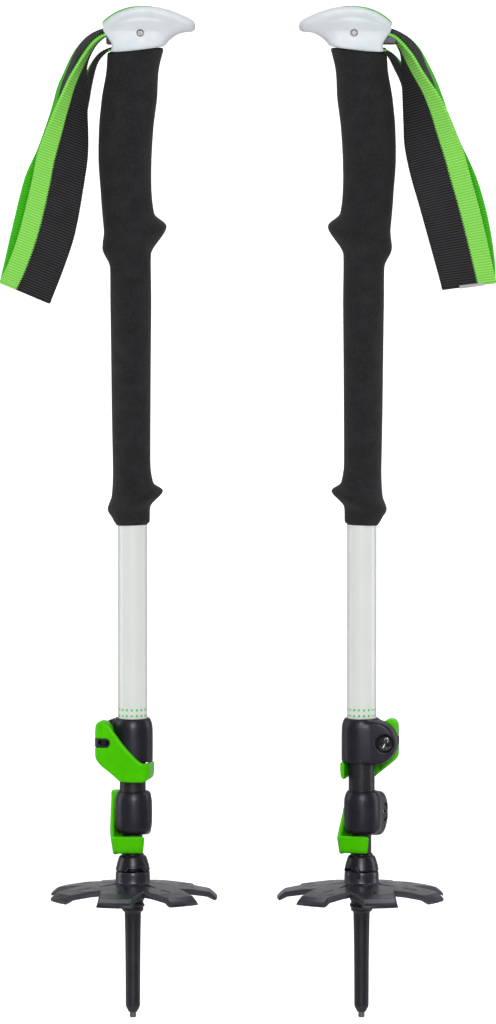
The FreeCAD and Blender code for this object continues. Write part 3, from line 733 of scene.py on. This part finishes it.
# Clamps are drawn round their tube with the screw's axis at height 0, the boss
# towards -X, the lever on the -Y side and the screw's head on the +Y side.
# sleeve and shift are the sleeve's radius and how far it stands off the tube's axis,
# skirt how far in and up its bottom edge is rounded, ear the boss's seat for the
# screw, face the lever's outer face, and taper how far the lever narrows downwards.
CLAMPS = {
    "upper": {"body": "grip", "sleeve": 12.3, "shift": 0.35, "skirt": (0.8, 0.8), "ear": 11.4,
              "face": 15.0, "screw": 16.2, "cam": 6.3, "grip_bore": 9.05, "pass_bore": 8.2,
              "taper": 0.96},
    "lower": {"body": "middle", "sleeve": 11.35, "shift": 0.5, "skirt": (4.2, 6.0), "ear": 10.5,
              "face": 13.9, "screw": 15.4, "cam": 5.6, "grip_bore": 8.05, "pass_bore": 6.2,
              "taper": 0.86},
}
COLLAR_TOP = 14.8
COLLAR_BOTTOM = -12.3
TUBE_STOP = -9.0
BOSS_OFFSET = 9.3
BOSS_RADIUS = 13.7
EAR_BACK = -1.3
EAR_GAP = (1.4, 2.6)
COUNTERBORE = 5.6
HEAD_SINK = 2.6
CROSS_TURN = 0.4
LEVER_THICKNESS = 2.9
LEVER_SLOT = 2.85
LEVER_BORE = 3.4
SLOT_END = 1.9
SLOT_SINK = 0.7
SADDLE_GAP = 0.12
SHANK_RADIUS = 1.95
HEAD_RADIUS = 5.0
CROSS_ARM = (0.62, 3.0)  # half width and reach of the cross socket's arms
CLAMP_STEP = 0.5
SMALL_STEP = 0.4


def clamp_collar_field(size):
    sleeve, screw = size["sleeve"], size["screw"]
    front = size["ear"] + 0.5
    skirt_in, skirt_up = size["skirt"]
    sleeve_profile = outline([
        (-30, COLLAR_BOTTOM), (sleeve - skirt_in, COLLAR_BOTTOM),
        (sleeve - skirt_in * 0.25, COLLAR_BOTTOM + skirt_up * 0.3),
        (sleeve, COLLAR_BOTTOM + skirt_up), (sleeve, COLLAR_TOP - 6.4),
        (sleeve - 0.6, COLLAR_TOP - 3.2), (sleeve - 1.5, COLLAR_TOP - 1.0),
        (sleeve - 2.5, COLLAR_TOP), (-30, COLLAR_TOP)], 2)
    boss_profile = outline([
        (-30, EAR_BACK), (BOSS_RADIUS - 0.7, EAR_BACK), (BOSS_RADIUS, EAR_BACK + 0.7),
        (BOSS_RADIUS, front - 2.6), (BOSS_RADIUS - 0.9, front - 0.8), (BOSS_RADIUS - 2.8, front),
        (-30, front)], 2)

    def field(x, y, z):
        radius = np.hypot(x, y)
        body = smooth_min(sleeve_profile(np.hypot(x, y - size["shift"]), z),
                          boss_profile(np.hypot(x + BOSS_OFFSET, z), y), 1.6)
        body = smooth_max(body, size["pass_bore"] - radius, 0.5)
        body = np.maximum(body, -np.maximum(radius - size["grip_bore"], TUBE_STOP - z))
        slit = np.maximum(np.abs(y - sum(EAR_GAP) / 2) - (EAR_GAP[1] - EAR_GAP[0]) / 2, x + 4.0)
        body = smooth_max(body, -slit, 0.5)
        from_screw = np.hypot(x + screw, z)
        body = np.maximum(body, 2.2 - from_screw)
        sink = np.maximum(from_screw - COUNTERBORE, size["ear"] - HEAD_SINK - y)
        return smooth_max(body, -sink, 0.7)

    return field


def clamp_lever_field(size):
    face, screw, cam = size["face"], size["screw"], size["cam"]
    inner = face - LEVER_THICKNESS
    low = COLLAR_BOTTOM
    left = -(screw + 5.7)
    side = outline([
        (left, 9.6), (left + 1.8, 12.2), (-17.8, 13.4), (-14.4, 12.9), (-11.8, 10.6),
        (-8.6, 6.4), (-2.9, -1.4), (3.2, -8.0), (6.6, low + 1.2), (8.8, low - 0.1),
        (13.4, low - 0.1), (13.7, low - 1.0), (13.5, -21.0), (9.8, -23.7), (7.4, -24.2),
        (-4.8, -24.0), (-6.8, -22.8), (-8.6, -21.1), (-18.6, -13.0), (left + 0.5, -9.8),
        (left + 0.1, -7.4)], 2)
    plan = outline([
        (-screw, -face), (7.0, -face), (9.6, 0.5 - face), (11.9, 2.3 - face), (12.8, 4.8 - face),
        (12.8, 4.4), (12.2, 6.6), (10.9, 7.8), (9.2, 7.8), (9.2, 5.4 - face),
        (8.7, 1.1 - inner), (6.8, -inner), (-screw, -inner)], 2)
    pivot = face - cam

    def field(x, y, z):
        round_cam = np.hypot(x + screw, y + pivot)
        draw = 1 - (1 - size["taper"]) * smooth_step(-z, 8.0, 26.0)
        body = smooth_min(plan(x, y / draw) * draw, round_cam - cam, 0.6)
        body = smooth_max(side(x, z), body, 2.0)
        slot = np.maximum(np.abs(z) - LEVER_SLOT,
                          np.hypot(np.maximum(0, x + screw - SLOT_END), z) - LEVER_SLOT)
        body = smooth_max(body, -slot, 0.8)
        dimple = np.hypot(np.hypot(x + screw, y + pivot), z - 13.0) - 1.2
        body = smooth_max(body, -dimple, 0.5)
        return smooth_max(body, -np.maximum(round_cam - LEVER_BORE, z - 9.2), 0.4)

    return field


def lever_saddle_field(size):
    """The dark saddle in the outer half of the lever's slot, open where the barrel shows."""
    screw, cam = size["screw"], size["cam"]
    pivot = size["face"] - cam

    def field(x, y, z):
        cap = np.hypot(np.maximum(0, x + screw - SLOT_END), z) - LEVER_SLOT + SADDLE_GAP
        plate = np.maximum(cap, np.abs(z) - LEVER_SLOT + SADDLE_GAP)
        round_cam = np.hypot(x + screw, y + pivot)
        front = np.where(x < -screw, round_cam - cam, -(y + pivot) - cam)
        plate = smooth_max(plate, front + SLOT_SINK, 0.4)
        plate = smooth_max(plate, 1.6 - cam - np.minimum(y + pivot, 0), 0.2)
        plate = smooth_max(plate, LEVER_BORE + 0.1 - round_cam, 0.2)
        plate = smooth_max(plate, y + pivot - 0.4, 0.3)
        oval = np.hypot(np.maximum(0, np.abs(x + screw - 0.4) - 1.6), z) - 1.5
        return smooth_max(plate, -np.maximum(oval, y + pivot), 0.4)

    return field


def screw_field(size):
    """A domed cross-socket screw along Y, its shank reaching into the barrel nut."""
    seat = size["ear"] - HEAD_SINK
    tail = -(size["face"] - size["cam"]) - 2.2
    half_width, arm_reach = CROSS_ARM

    def field(x, y, z):
        across = x + size["screw"]
        radius = np.hypot(across, z)
        crown = (y - seat - 3.2 + 1.5 * (radius / 5.2) ** 2) * 0.9
        head = smooth_max(smooth_max(radius - HEAD_RADIUS, crown, 0.9), seat - y, 0.3)
        one = across * math.cos(CROSS_TURN) + z * math.sin(CROSS_TURN)
        two = z * math.cos(CROSS_TURN) - across * math.sin(CROSS_TURN)
        deep = seat + 1.0 + radius * 0.35 - y
        arms = smooth_min(np.maximum(np.abs(one) - half_width, np.abs(two) - arm_reach),
                          np.maximum(np.abs(two) - half_width, np.abs(one) - arm_reach), 0.9)
        head = smooth_max(head, -np.maximum(arms, deep), 0.3)
        shank = np.maximum(np.maximum(radius - SHANK_RADIUS, y - seat - 0.3), tail - y)
        return np.minimum(head, shank)

    return field


def clamp_parts(level, size):
    """Each piece of a clamp: its name, shape, look, body, slot and the node it stands for."""
    low, high = (-30.0, -18.0, -26.0), (16.0, 16.0, 17.0)
    collar = net(clamp_collar_field(size), low, high, CLAMP_STEP)
    lever = net(clamp_lever_field(size), low, high, CLAMP_STEP)
    saddle = net(lever_saddle_field(size), (-24, -16, -4), (-8, 0, 4), SMALL_STEP)
    screw = net(screw_field(size), (-23, -13, -6), (-9, 14, 6), SMALL_STEP)
    return [
        ("collar_shell", collar, "clamp", size["body"], "clamp_black", f"{level}_clamp_collar"),
        ("lever_shell", lever, "lever", f"{level}_lever", "green_plastic", f"{level}_clamp_lever"),
        ("lever_saddle", saddle, "clamp", f"{level}_lever", "clamp_black", None),
        ("screw_shell", screw, "gloss", f"{level}_screw", "screw_black", f"{level}_clamp_screw"),
    ]


def build_clamps():
    for level, size in CLAMPS.items():
        parts = clamp_parts(level, size)
        for side in SIDES:
            joint = JOINTS[f"{side}_{level}_screw_turn"]
            turn = math.atan2(-joint["axis"][0], joint["axis"][1])
            height = joint["pos_m"][2] / MM
            for name, *details in parts:
                on_pole(side, f"{level}_{name}", *details, turn, height)


# ---------------- foot and basket

BELL_TOP = 100.0
BELL_BOTTOM = 90.6
BELL_REACH = 9.9  # radius at which the latch's widths are measured
THREAD_CREST = 7.2
THREAD_ROOT = 6.5
THREAD_PITCH_UP = 4.2
THREAD_START = 89.8
THREAD_END = 66.0
LATCH_SLANT = 0.6
LATCH_TOP = 93.9
LATCH_HALF_WIDTH = 6.0
WINDOW_TOP = 92.6
WINDOW_HALF_WIDTH = 5.1
BELL_TURN = {"left": -1.42, "right": -2.36}
BELL_STEP = 0.3
FINGER_TURN = -1.72
FINGER_STEP = 0.25

bell_profile = outline([
    (-20, BELL_BOTTOM), (10.2, BELL_BOTTOM), (10.55, BELL_BOTTOM + 0.6), (10.2, 92.8), (9.6, 95.4),
    (8.9, 97.6), (8.3, 99.3), (7.7, 99.9), (6.9, BELL_TOP + 0.1), (6.8, BELL_TOP + 0.4),
    (6.8, BELL_TOP + 1.4), (-20, BELL_TOP + 1.4)], 1)


def bell_field(x, y, z):
    """The bell over the lower tube, with a framed latch window low on one side."""
    radius = np.hypot(x, y)
    body = bell_profile(radius, z)
    slant = np.abs(np.arctan2(y, x)) * BELL_REACH + (z - BELL_BOTTOM) * LATCH_SLANT
    frame_edge = smooth_max(slant - LATCH_HALF_WIDTH, z - LATCH_TOP, 0.5)
    raised = smooth_max(smooth_max(frame_edge, body - 0.45, 0.3), BELL_BOTTOM - z, 0.2)
    body = smooth_min(body, raised, 0.25)
    window = smooth_max(slant - WINDOW_HALF_WIDTH, z - WINDOW_TOP, 0.4)
    body = smooth_max(body, -np.maximum(window, 7.5 - radius), 0.25)
    return smooth_max(body, 6.05 - radius, 0.3)


def finger_field(x, y, z):
    """The latch's small upright finger, which hangs over the hub of the basket."""
    body = smooth_max(np.abs(y) - 0.85, np.abs(z - 89.7) - 2.9, 0.7)
    return smooth_max(body, np.abs(x - 11.3) - 0.6, 0.5)


def thread_shape():
    """The screw thread, the long cone and the shank above the tip."""
    columns = 72
    angles = np.linspace(0, math.tau, columns, endpoint=False)
    cone = spline((3.4, 4.2, 5.6, 7.0, 8.2, 27.0, 64.4, 65.2, THREAD_END),
                  (2.55, 2.95, 3.75, 4.3, 4.42, 4.5, 5.05, 5.4, THREAD_ROOT))
    rows = []
    for height in np.linspace(THREAD_START, THREAD_END, 100):
        phase = np.mod(height / THREAD_PITCH_UP + angles / math.tau, 1.0)
        ridge = smooth_step(1 - np.abs(phase - 0.5) * 2, 0.45, 0.72)
        ridge = ridge * smooth_step(np.full(columns, height), THREAD_END, THREAD_END + 2.4)
        radius = THREAD_ROOT + (THREAD_CREST - THREAD_ROOT) * ridge
        rows.append((radius, height))
    heights = [65.6, 65.2, 64.8, 64.4, 60.0, 50.0, 40.0, 30.0, 20.0, 12.0, 9.0, 8.2, 7.6, 7.0,
               6.4, 5.6, 5.0, 4.2, 3.7, 3.4]
    for height in heights:
        rows.append((np.full(columns, float(cone(height))), height))
    points = [np.stack([radius * np.cos(angles), radius * np.sin(angles),
                        np.full(columns, height)], axis=1) for radius, height in rows]
    faces = [face[::-1] for face in grid_faces(len(points), columns)]
    last = len(points) * columns
    faces.append(list(range(columns)))
    faces.append(list(range(last - columns, last))[::-1])
    return Shape(np.concatenate(points), faces)


BASKET_ARMS = 7
BASKET_RIM = 51.8
HUB_RADIUS = 10.6
HUB_TOP = 90.3
HUB_BORE = 7.4
BASKET_STEP = 0.55

basket_profile = outline([
    (-60, 79.2), (HUB_RADIUS + 3.0, 79.2), (BASKET_RIM - 6.5, 76.4), (BASKET_RIM - 0.5, 73.2),
    (BASKET_RIM, 73.6), (BASKET_RIM, 75.4), (BASKET_RIM - 5.6, 79.8), (HUB_RADIUS + 2.4, 82.6),
    (HUB_RADIUS + 0.4, 83.2), (HUB_RADIUS, 84.2), (HUB_RADIUS - 0.1, HUB_TOP - 0.5),
    (HUB_RADIUS - 0.6, HUB_TOP), (-60, HUB_TOP)], 1)


def basket_field(x, y, z):
    """Seven chisel-ended arms that droop from a threaded hub."""
    radius = np.hypot(x, y)
    sector = math.tau / BASKET_ARMS
    angle = np.arctan2(y, x)
    folded = angle - sector * np.round(angle / sector)
    along = radius * np.cos(folded)
    across = np.abs(radius * np.sin(folded))
    body = basket_profile(radius, z)
    slope = 0.42 * (z - 77.5)
    edge = arm_edge(along, across) + slope
    body = smooth_max(body, np.where(radius > 24, edge, -5.0), 0.8)
    slit_half_width = np.interp(along, (11.2, 22.8), (1.7, 0.15))
    slit = np.maximum(across - slit_half_width, np.abs(along - 17.0) - 5.8)
    dash = np.maximum(across - 0.6, np.abs(along - 32.5) - 4.5)
    body = smooth_max(body, -np.minimum(slit, dash), 0.35)
    return smooth_max(body, HUB_BORE - radius, 0.4)


def arm_edge(along, across):
    """How far outside an arm's straight side a point lies: the sides of the notches."""
    root_along, root_across = 30.2, 14.6
    tip_along, tip_across = 50.4, 9.6
    length = math.hypot(tip_along - root_along, tip_across - root_across)
    normal_along = (root_across - tip_across) / length
    normal_across = (tip_along - root_along) / length
    return (along - root_along) * normal_along + (across - root_across) * normal_across


def build_foot():
    bell = net(bell_field, (-11, -11, 89.5), (11, 11, 102), BELL_STEP)
    finger = net(finger_field, (9, -1.5, 86), (12, 1.5, 93.5), FINGER_STEP)
    thread = thread_shape()
    basket = net(basket_field, (-52, -52, 72.5), (52, 52, 91), BASKET_STEP)
    for side in SIDES:
        on_pole(side, "foot", thread, "foot", "lower", "foot_plastic", "tip_ferrule")
        on_pole(side, "bell", bell, "bell", "lower", "foot_plastic", turn=BELL_TURN[side])
        if side == "right":
            on_pole(side, "bell_finger", finger, "bell", "lower", "foot_plastic",
                    turn=FINGER_TURN)
        on_pole(side, "snow_basket", basket, "basket", "basket", "basket_plastic", "basket")


# ---------------- wrist straps

BAND_THICKNESS = 1.9
BAND_WIDTH = 34.0
RIB_HEIGHT = 0.12
ROW_STEP = 0.22
ROW_LENGTHS = {"near": 170, "far": 176, "tail": 88}  # which set how many rows each run has
FOLD_ROWS = 8
PINCH = (566.0, 598.0)  # heights between which the band is gathered into the mouth
FAR_PINCH = (582.0, 602.0)
PATCH_SPAN = (0.22, 0.68)  # where the patch lies across the band, from its green edge
PATCH_THICKNESS = 0.35

# The edges of each loop: down in front, round the fold at the bottom and up behind, and
# of its tail, from the mouth down. Both loops are drawn with their free side towards -X.
# They don't hang quite alike.
LOOPS = {
    "left": {
        "near_green": [(-9, -9, 605.0), (-17, -10.2, 603.4), (-22.9, -12, 599.8),
            (-28.3, -14.6, 593.4), (-33.2, -17.3, 586), (-38, -19.5, 578.2), (-42.7, -20.3, 568.2),
            (-48.7, -19.5, 554.8), (-57.2, -15, 532.4), (-61.1, -12, 514), (-68.7, -9, 483.4),
            (-75.6, -6, 463.8), (-80.6, -1.7, 453.4)],
        "near_black": [(-9, 9, 603.2), (-16.5, 8.5, 601.4), (-21.5, 8, 597.2), (-25.2, 7.5, 591.4),
            (-27.6, 6.5, 585.2), (-28.4, 4.5, 578.5), (-28, 2.5, 569), (-27.4, 1, 555.5),
            (-26.8, -0.5, 532.4), (-28.9, -2.5, 514), (-34.4, -5, 483.4), (-40.5, -5, 463.8),
            (-49.1, -1.7, 441.3)],
        "fold_green": [(-81.0, 0, 452.3)],
        "fold_black": [(-49.5, 0, 440.3)],
        "far_green": [(-80.6, 1.7, 453.4), (-78.1, 6.5, 463.8), (-73.6, 9.5, 483.4),
            (-65.9, 11, 514), (-57.8, 15, 532.5), (-49.4, 20, 555.3), (-45.4, 19, 568.9),
            (-41.2, 16.5, 578.7), (-36.2, 13.5, 589.3), (-31.0, 11.5, 596.8), (-25.5, 10.5, 601.8),
            (-18.7, 9.5, 605.0), (-9, 9, 606.6)],
        "far_black": [(-49.1, 1.7, 441.3), (-43.5, 5, 460), (-38, 6, 480), (-33, 3.8, 512),
            (-30.5, 3, 532), (-36, 0, 543), (-39.6, -4.5, 552), (-40, -9, 567), (-36.9, -10, 579),
            (-32.4, -9.8, 588.6), (-27.4, -9.6, 595.4), (-22.8, -9.5, 600.8), (-17.9, -9.3, 604.4),
            (-9, -9, 606.0)],
        "tail_green": [(-9, 9, 594.6), (-15, 9.4, 593), (-19.5, 10.4, 590.6), (-23.5, 12.5, 586),
            (-27, 15, 580), (-31, 17.5, 572.5), (-36, 18.5, 562), (-44, 15, 549), (-54, 9.5, 535),
            (-60, 1, 521)],
        "tail_black": [(-9, -9, 596), (-14, -9, 594.3), (-17.3, -8.3, 591.9), (-20.5, -6.8, 588),
            (-22.4, -4.5, 583.5), (-23.6, -2, 578.5), (-25, 1, 571.5), (-26.6, 3.5, 561),
            (-28.5, 4.5, 549), (-32, 0.5, 532), (-36, 0, 518)],
    },
    "right": {
        "near_green": [(-9, -9, 605), (-18.3, -10.2, 603.2), (-23.3, -11.8, 599.6),
            (-27.2, -13.8, 595.6), (-31.4, -16.3, 590.4), (-35.6, -18.4, 583.4),
            (-39.9, -19.7, 577), (-46, -20, 568), (-51, -19, 558.9), (-54.3, -17, 551.5),
            (-61, -10, 534.5), (-66, -8, 516.8), (-70.9, -6, 499.1), (-75.3, -5.5, 481.3),
            (-79.3, -4.5, 463.6), (-81.6, -1.7, 453.4)],
        "near_black": [(-9, 9, 603), (-16, 8.5, 601.5), (-19.9, 8, 598.6), (-22.4, 7, 594.2),
            (-23.8, 6, 590.5), (-24.3, 4.5, 584), (-24.4, 3, 575), (-24.8, 2, 562),
            (-25.2, 1, 548), (-25.8, 0, 534.5), (-29.4, -2, 517), (-34.6, -4, 499),
            (-39.6, -5, 481), (-44.4, -4.5, 463.8), (-48.2, -1.7, 449.8)],
        "fold_green": [(-82.0, 0, 452.2)],
        "fold_black": [(-48.4, 0, 448.7)],
        "far_green": [(-81.6, 1.7, 453.4), (-81.1, 5, 464), (-78.7, 8, 481.3), (-74.8, 9.5, 499.1),
            (-69.2, 11, 516.8), (-61, 14, 534.5), (-53, 18, 551.5), (-50.3, 19, 559.5),
            (-45, 18, 573.4), (-40.3, 16.5, 583), (-35.2, 14, 592.4), (-30, 12, 598.4),
            (-25, 10.8, 602), (-18.7, 9.5, 605), (-9, 9, 606.6)],
        "far_black": [(-48.2, 1.7, 449.8), (-42.6, 5, 474), (-38.5, 5, 492), (-34.5, 3.8, 512),
            (-31.5, 3, 530), (-36, 0, 543), (-39.6, -4.5, 552), (-40, -9, 566), (-37.8, -9.6, 575),
            (-35, -10, 582.6), (-31.8, -9.9, 589), (-28.7, -9.8, 594.4), (-25.2, -9.7, 598.8),
            (-21.2, -9.5, 602.4), (-16.2, -9.2, 604.7), (-9, -9, 606.0)],
        "tail_green": [(-9, 9, 593.6), (-15, 9.3, 592.2), (-20.5, 10.5, 588.4), (-25, 13, 582.4),
            (-30, 16, 574.5), (-35, 18, 565), (-41, 17.5, 555), (-48, 14, 545), (-55.5, 9, 534),
            (-60, 1, 521)],
        "tail_black": [(-9, -9, 595.6), (-13, -9, 593.8), (-16.2, -8.3, 590.2),
            (-18.5, -7.3, 585.9), (-20.6, -5.5, 581.3), (-22.3, -3.5, 577.8), (-24.4, -0.5, 571.8),
            (-26, 2, 562), (-28, 4, 550), (-31.5, 1, 533), (-36, 0, 518)],
    },
}


def rail(spans, counts):
    """One smooth curve through all the points, split by length into counts per span."""
    points = np.array([point for span in spans for point in span], float)
    before = 2 * points[:1] - points[1:2]
    after = 2 * points[-1:] - points[-2:-1]
    padded = np.concatenate([before, points, after])
    t = np.linspace(0, 1, 40, endpoint=False)[:, None]
    dense = []
    for a, b, c, d in zip(padded, padded[1:], padded[2:], padded[3:]):
        dense.append(0.5 * (2 * b + (c - a) * t + (2 * a - 5 * b + 4 * c - d) * t ** 2
                            + (3 * b - a - 3 * c + d) * t ** 3))
    dense = np.concatenate(dense + [points[-1:]])
    length = np.concatenate([[0], np.cumsum(np.linalg.norm(np.diff(dense, axis=0), axis=1))])
    marks = [0]
    for span in spans:
        marks.append(marks[-1] + len(span))
    knots = [length[min(mark, len(points) - 1) * 40] for mark in marks]
    stops = np.concatenate([np.linspace(start, end, count, endpoint=False)
                            for start, end, count in zip(knots, knots[1:], counts)] + [knots[-1:]])
    return np.stack([np.interp(stops, length, column) for column in dense.T], axis=1)


def ribbon(green, black, thickness, span=(0.0, 1.0), lift=0.0, columns=18):
    """A closed band between two rails, ribbed across, with rounded selvedges.

    Where the band is gathered into the mouth, the near half shows more of its green
    and the far half more of its black, so the stripe widens or narrows there.
    """
    centre = (green + black) / 2
    along = np.concatenate([[0], np.cumsum(np.linalg.norm(np.diff(centre, axis=0), axis=1))])
    forward = np.gradient(centre, axis=0)
    forward /= np.linalg.norm(forward, axis=1)[:, None]
    across = black - green
    width = np.linalg.norm(across, axis=1)
    across /= width[:, None]
    out = np.cross(forward, across)
    out /= np.linalg.norm(out, axis=1)[:, None]
    rib = np.cos(along * math.tau / RIB_PITCH)
    pinch = smooth_step(centre[:, 2], *PINCH)
    near = np.arange(len(centre)) < len(centre) / 2
    far_pinch = smooth_step(centre[:, 2], *FAR_PINCH)
    stripe = np.where(near, 1 - 0.55 * pinch, 1 + 3.0 * far_pinch)
    shares = span[0] + (span[1] - span[0]) * (0.5 - 0.5 * np.cos(np.linspace(0, math.pi, columns)))
    loop = [(share, 1) for share in shares] + [(share, -1) for share in shares[-2:0:-1]]
    points, values = [], {"along": [], "across": [], "outer": []}
    for share, face in loop:
        from_edge = min(share - span[0], span[1] - share) * width
        round_off = np.sqrt(np.clip(1 - (1 - np.minimum(from_edge / 0.9, 1)) ** 2, 0, 1))
        ribs = RIB_HEIGHT * rib * (0.4 + 0.6 * round_off)
        height = face * (thickness / 2 * round_off + ribs) + lift
        side_shift = (RIB_HEIGHT * rib) * np.sign(share - sum(span) / 2) * (1 - round_off)
        reach = share * width + side_shift
        points.append(green + across * reach[:, None] + out * height[:, None])
        values["along"].append(along)
        values["across"].append(share * BAND_WIDTH * stripe)
        # outer is 1 on the band's outer face and 0 on its inner face. The webbing's finish uses it
        # to paint the outer face's green as lit and the inner face's green as shaded.
        values["outer"].append(np.full(len(along), float(face > 0)))
    rows, ring = len(along), len(loop)
    points = np.stack(points, axis=1).reshape(-1, 3)
    values = {key: np.stack(value, axis=1).ravel() for key, value in values.items()}
    faces = grid_faces(rows, ring)
    faces += [list(range(ring))[::-1], list(range((rows - 1) * ring, rows * ring))]
    return Shape(points, faces, None, values), along[-1]


def strap_shapes(loop):
    """The loop and its tail, each with its length, then the loop's rails and its fold's row."""
    counts = (int(ROW_LENGTHS["near"] / ROW_STEP), FOLD_ROWS, int(ROW_LENGTHS["far"] / ROW_STEP))
    green = rail([loop["near_green"], loop["fold_green"], loop["far_green"]], counts)
    black = rail([loop["near_black"], loop["fold_black"], loop["far_black"]], counts)
    tail_rows = (int(ROW_LENGTHS["tail"] / ROW_STEP),)
    tail_green = rail([loop["tail_green"][::-1]], tail_rows)
    tail_black = rail([loop["tail_black"][::-1]], tail_rows)
    return (ribbon(green, black, BAND_THICKNESS), ribbon(tail_green, tail_black, BAND_THICKNESS),
            green, black, counts[0])


def patch_shape(green, black, fold):
    """A plain patch wrapped round the bottom fold, beside the edge of the stripe."""
    first = fold - int(2.0 / ROW_STEP)
    last = fold + FOLD_ROWS + int(4.0 / ROW_STEP)
    return ribbon(green[first:last], black[first:last], PATCH_THICKNESS, PATCH_SPAN,
                  BAND_THICKNESS / 2 + 0.25, 10)


def build_straps():
    for side in SIDES:
        mirror = side == "right"
        band, tail, green, black, fold = strap_shapes(LOOPS[side])
        pieces = [("wrist_band", band, "webbing"), ("strap_tail", tail, "webbing")]
        if side == "right":
            pieces.append(("strap_patch", patch_shape(green, black, fold), "patch"))
        for name, (shape, length), word in pieces:
            piece = add_piece(f"{side}_{name}", shape, FINISHES[word], 0.0, (AXIS[side], 0, 0),
                              mirror)
            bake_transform(piece)
            if name == "wrist_band":
                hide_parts(f"{side}_strap_webbing")


# ---------------- grips

def build_grips():
    foam = foam_shape()
    pommel = net(pommel_field, (-21.0, -16.0, 591.0), (41.0, 16.0, 622.0), POMMEL_STEP)
    inlay = net(inlay_field, (-21.0, -9.0, 607.0), (15.0, 9.0, 622.0), SMALL_STEP)
    lining = net(lining_field, (-16.0, -10.5, 592.0), (-5.0, 10.5, 596.0), SMALL_STEP)
    for side in SIDES:
        wedge = net(wedge_field(side), (-25, -10, 595), (-6, 10, 605), 0.45)
        on_pole(side, "foam_sleeve", foam, "foam", "grip", "grip_foam", "foam_grip")
        on_pole(side, "pommel_shell", pommel, "pommel", "grip", "pommel_white", "pommel")
        on_pole(side, "crown_inlay", inlay, "inlay", "grip", "green_plastic", "pommel_inlay")
        on_pole(side, "mouth_lining", lining, "inlay", "grip", "green_plastic")
        on_pole(side, "wedge_block", wedge, "wedge", "wedge", "wedge_plastic", "strap_wedge")


# ---------------- floor, light, camera

# The stage is in metres.
FLOOR_HEIGHT = -0.82
FLOOR_GLOW = 0.75
FLOOR_FRONT = -9.5
FLOOR_SIDES = (-7.0, 7.0)
WALL_START = 1.6
WALL_BEND = 1.4
WALL_HEIGHT = 6.0
WORLD_STRENGTH = 0.17
LIGHT_AIM = (0, 0, 0.32)


def build_stage():
    """A pale floor that curves up behind the poles, and is clear when seen from its back.

    It lies low enough for the poles to hang above it drawn out to their full length.
    """
    finish = Finish("floor", (0.82, 0.82, 0.82), 0.9, Specular_IOR_Level=0.1)
    shade = finish.between(finish.noise(0.6, 2.0), 0.3, 0.7)
    finish.colour(finish.mix(shade, (0.80, 0.80, 0.80), (0.84, 0.84, 0.84)))
    finish.shader.inputs["Emission Color"].default_value = (1, 1, 1, 1)
    seen = finish.add("ShaderNodeLightPath").outputs["Is Camera Ray"]
    glow = finish.calc("MULTIPLY", seen, FLOOR_GLOW)
    finish.feed(finish.shader.inputs["Emission Strength"], glow)
    behind = finish.add("ShaderNodeNewGeometry").outputs["Backfacing"]
    clear = finish.add("ShaderNodeMixShader")
    finish.feed(clear.inputs[0], finish.calc("MULTIPLY", seen, behind))
    finish.feed(clear.inputs[1], finish.shader.outputs[0])
    finish.feed(clear.inputs[2], finish.add("ShaderNodeBsdfTransparent").outputs[0])
    finish.feed(finish.tree.nodes["Material Output"].inputs["Surface"], clear.outputs[0])
    profile = [(FLOOR_FRONT, 0.0), (WALL_START, 0.0)]
    for angle in np.linspace(0, math.pi / 2, 16)[1:]:
        profile.append((WALL_START + WALL_BEND * math.sin(angle),
                        WALL_BEND - WALL_BEND * math.cos(angle)))
    profile.append((WALL_START + WALL_BEND, WALL_HEIGHT))
    points = [(x, y, z + FLOOR_HEIGHT) for y, z in profile for x in FLOOR_SIDES]
    faces = [[2 * i, 2 * i + 1, 2 * i + 3, 2 * i + 2] for i in range(len(profile) - 1)]
    mesh = bpy.data.meshes.new("floor")
    mesh.from_pydata(points, [], faces)
    mesh.shade_smooth()
    mesh.materials.append(finish.material)
    floor = bpy.data.objects.new("floor", mesh)
    bpy.context.scene.collection.objects.link(floor)


def add_light(name, place, aim, size, power):
    data = bpy.data.lights.new(name, "AREA")
    data.shape = "RECTANGLE"
    data.size, data.size_y = size
    data.energy = power
    light = bpy.data.objects.new(name, data)
    light.location = place
    light.rotation_euler = (Vector(aim) - Vector(place)).to_track_quat("-Z", "Y").to_euler()
    bpy.context.scene.collection.objects.link(light)


def build_lights():
    world = bpy.data.worlds.new("studio")
    world.use_nodes = True
    background = world.node_tree.nodes["Background"]
    background.inputs["Color"].default_value = (1.0, 1.0, 1.0, 1)
    seen = world.node_tree.nodes.new("ShaderNodeLightPath").outputs["Is Camera Ray"]
    strength = world.node_tree.nodes.new("ShaderNodeMapRange")
    strength.inputs["To Min"].default_value = WORLD_STRENGTH
    strength.inputs["To Max"].default_value = 1.0
    world.node_tree.links.new(seen, strength.inputs["Value"])
    world.node_tree.links.new(strength.outputs[0], background.inputs["Strength"])
    bpy.context.scene.world = world
    add_light("front_box", (0.0, -2.4, 1.05), LIGHT_AIM, (0.55, 1.4), 40)
    add_light("left_box", (-1.6, 0.25, 0.6), LIGHT_AIM, (0.5, 1.5), 8)
    add_light("right_box", (1.6, 0.25, 0.6), LIGHT_AIM, (0.5, 1.5), 8)
    add_light("back_wash", (0, 0.6, 2.4), (0, 1.8, 0.4), (2.6, 0.8), 34)


CAMERA_AIM = (0.0005, 0.0, 0.3110)
CAMERA_DISTANCE = 8.683
CAMERA_LENS = 500
CAMERA_PITCH = math.radians(5.7)


def build_camera():
    data = bpy.data.cameras.new("camera")
    data.lens = CAMERA_LENS
    data.sensor_width = 36
    data.clip_end = 60
    camera = bpy.data.objects.new("camera", data)
    away = Vector((0, -math.cos(CAMERA_PITCH), math.sin(CAMERA_PITCH)))
    camera.location = Vector(CAMERA_AIM) + away * CAMERA_DISTANCE
    camera.rotation_euler = (math.pi / 2 - CAMERA_PITCH, 0, 0)
    bpy.context.scene.collection.objects.link(camera)
    bpy.context.scene.camera = camera


# ---------------- all together

build_camera()
finish_kept_nodes()
build_grips()
build_straps()
build_clamps()
build_foot()
build_stage()
build_lights()
bpy.context.scene.view_settings.view_transform = "Standard"
bpy.context.view_layer.update()
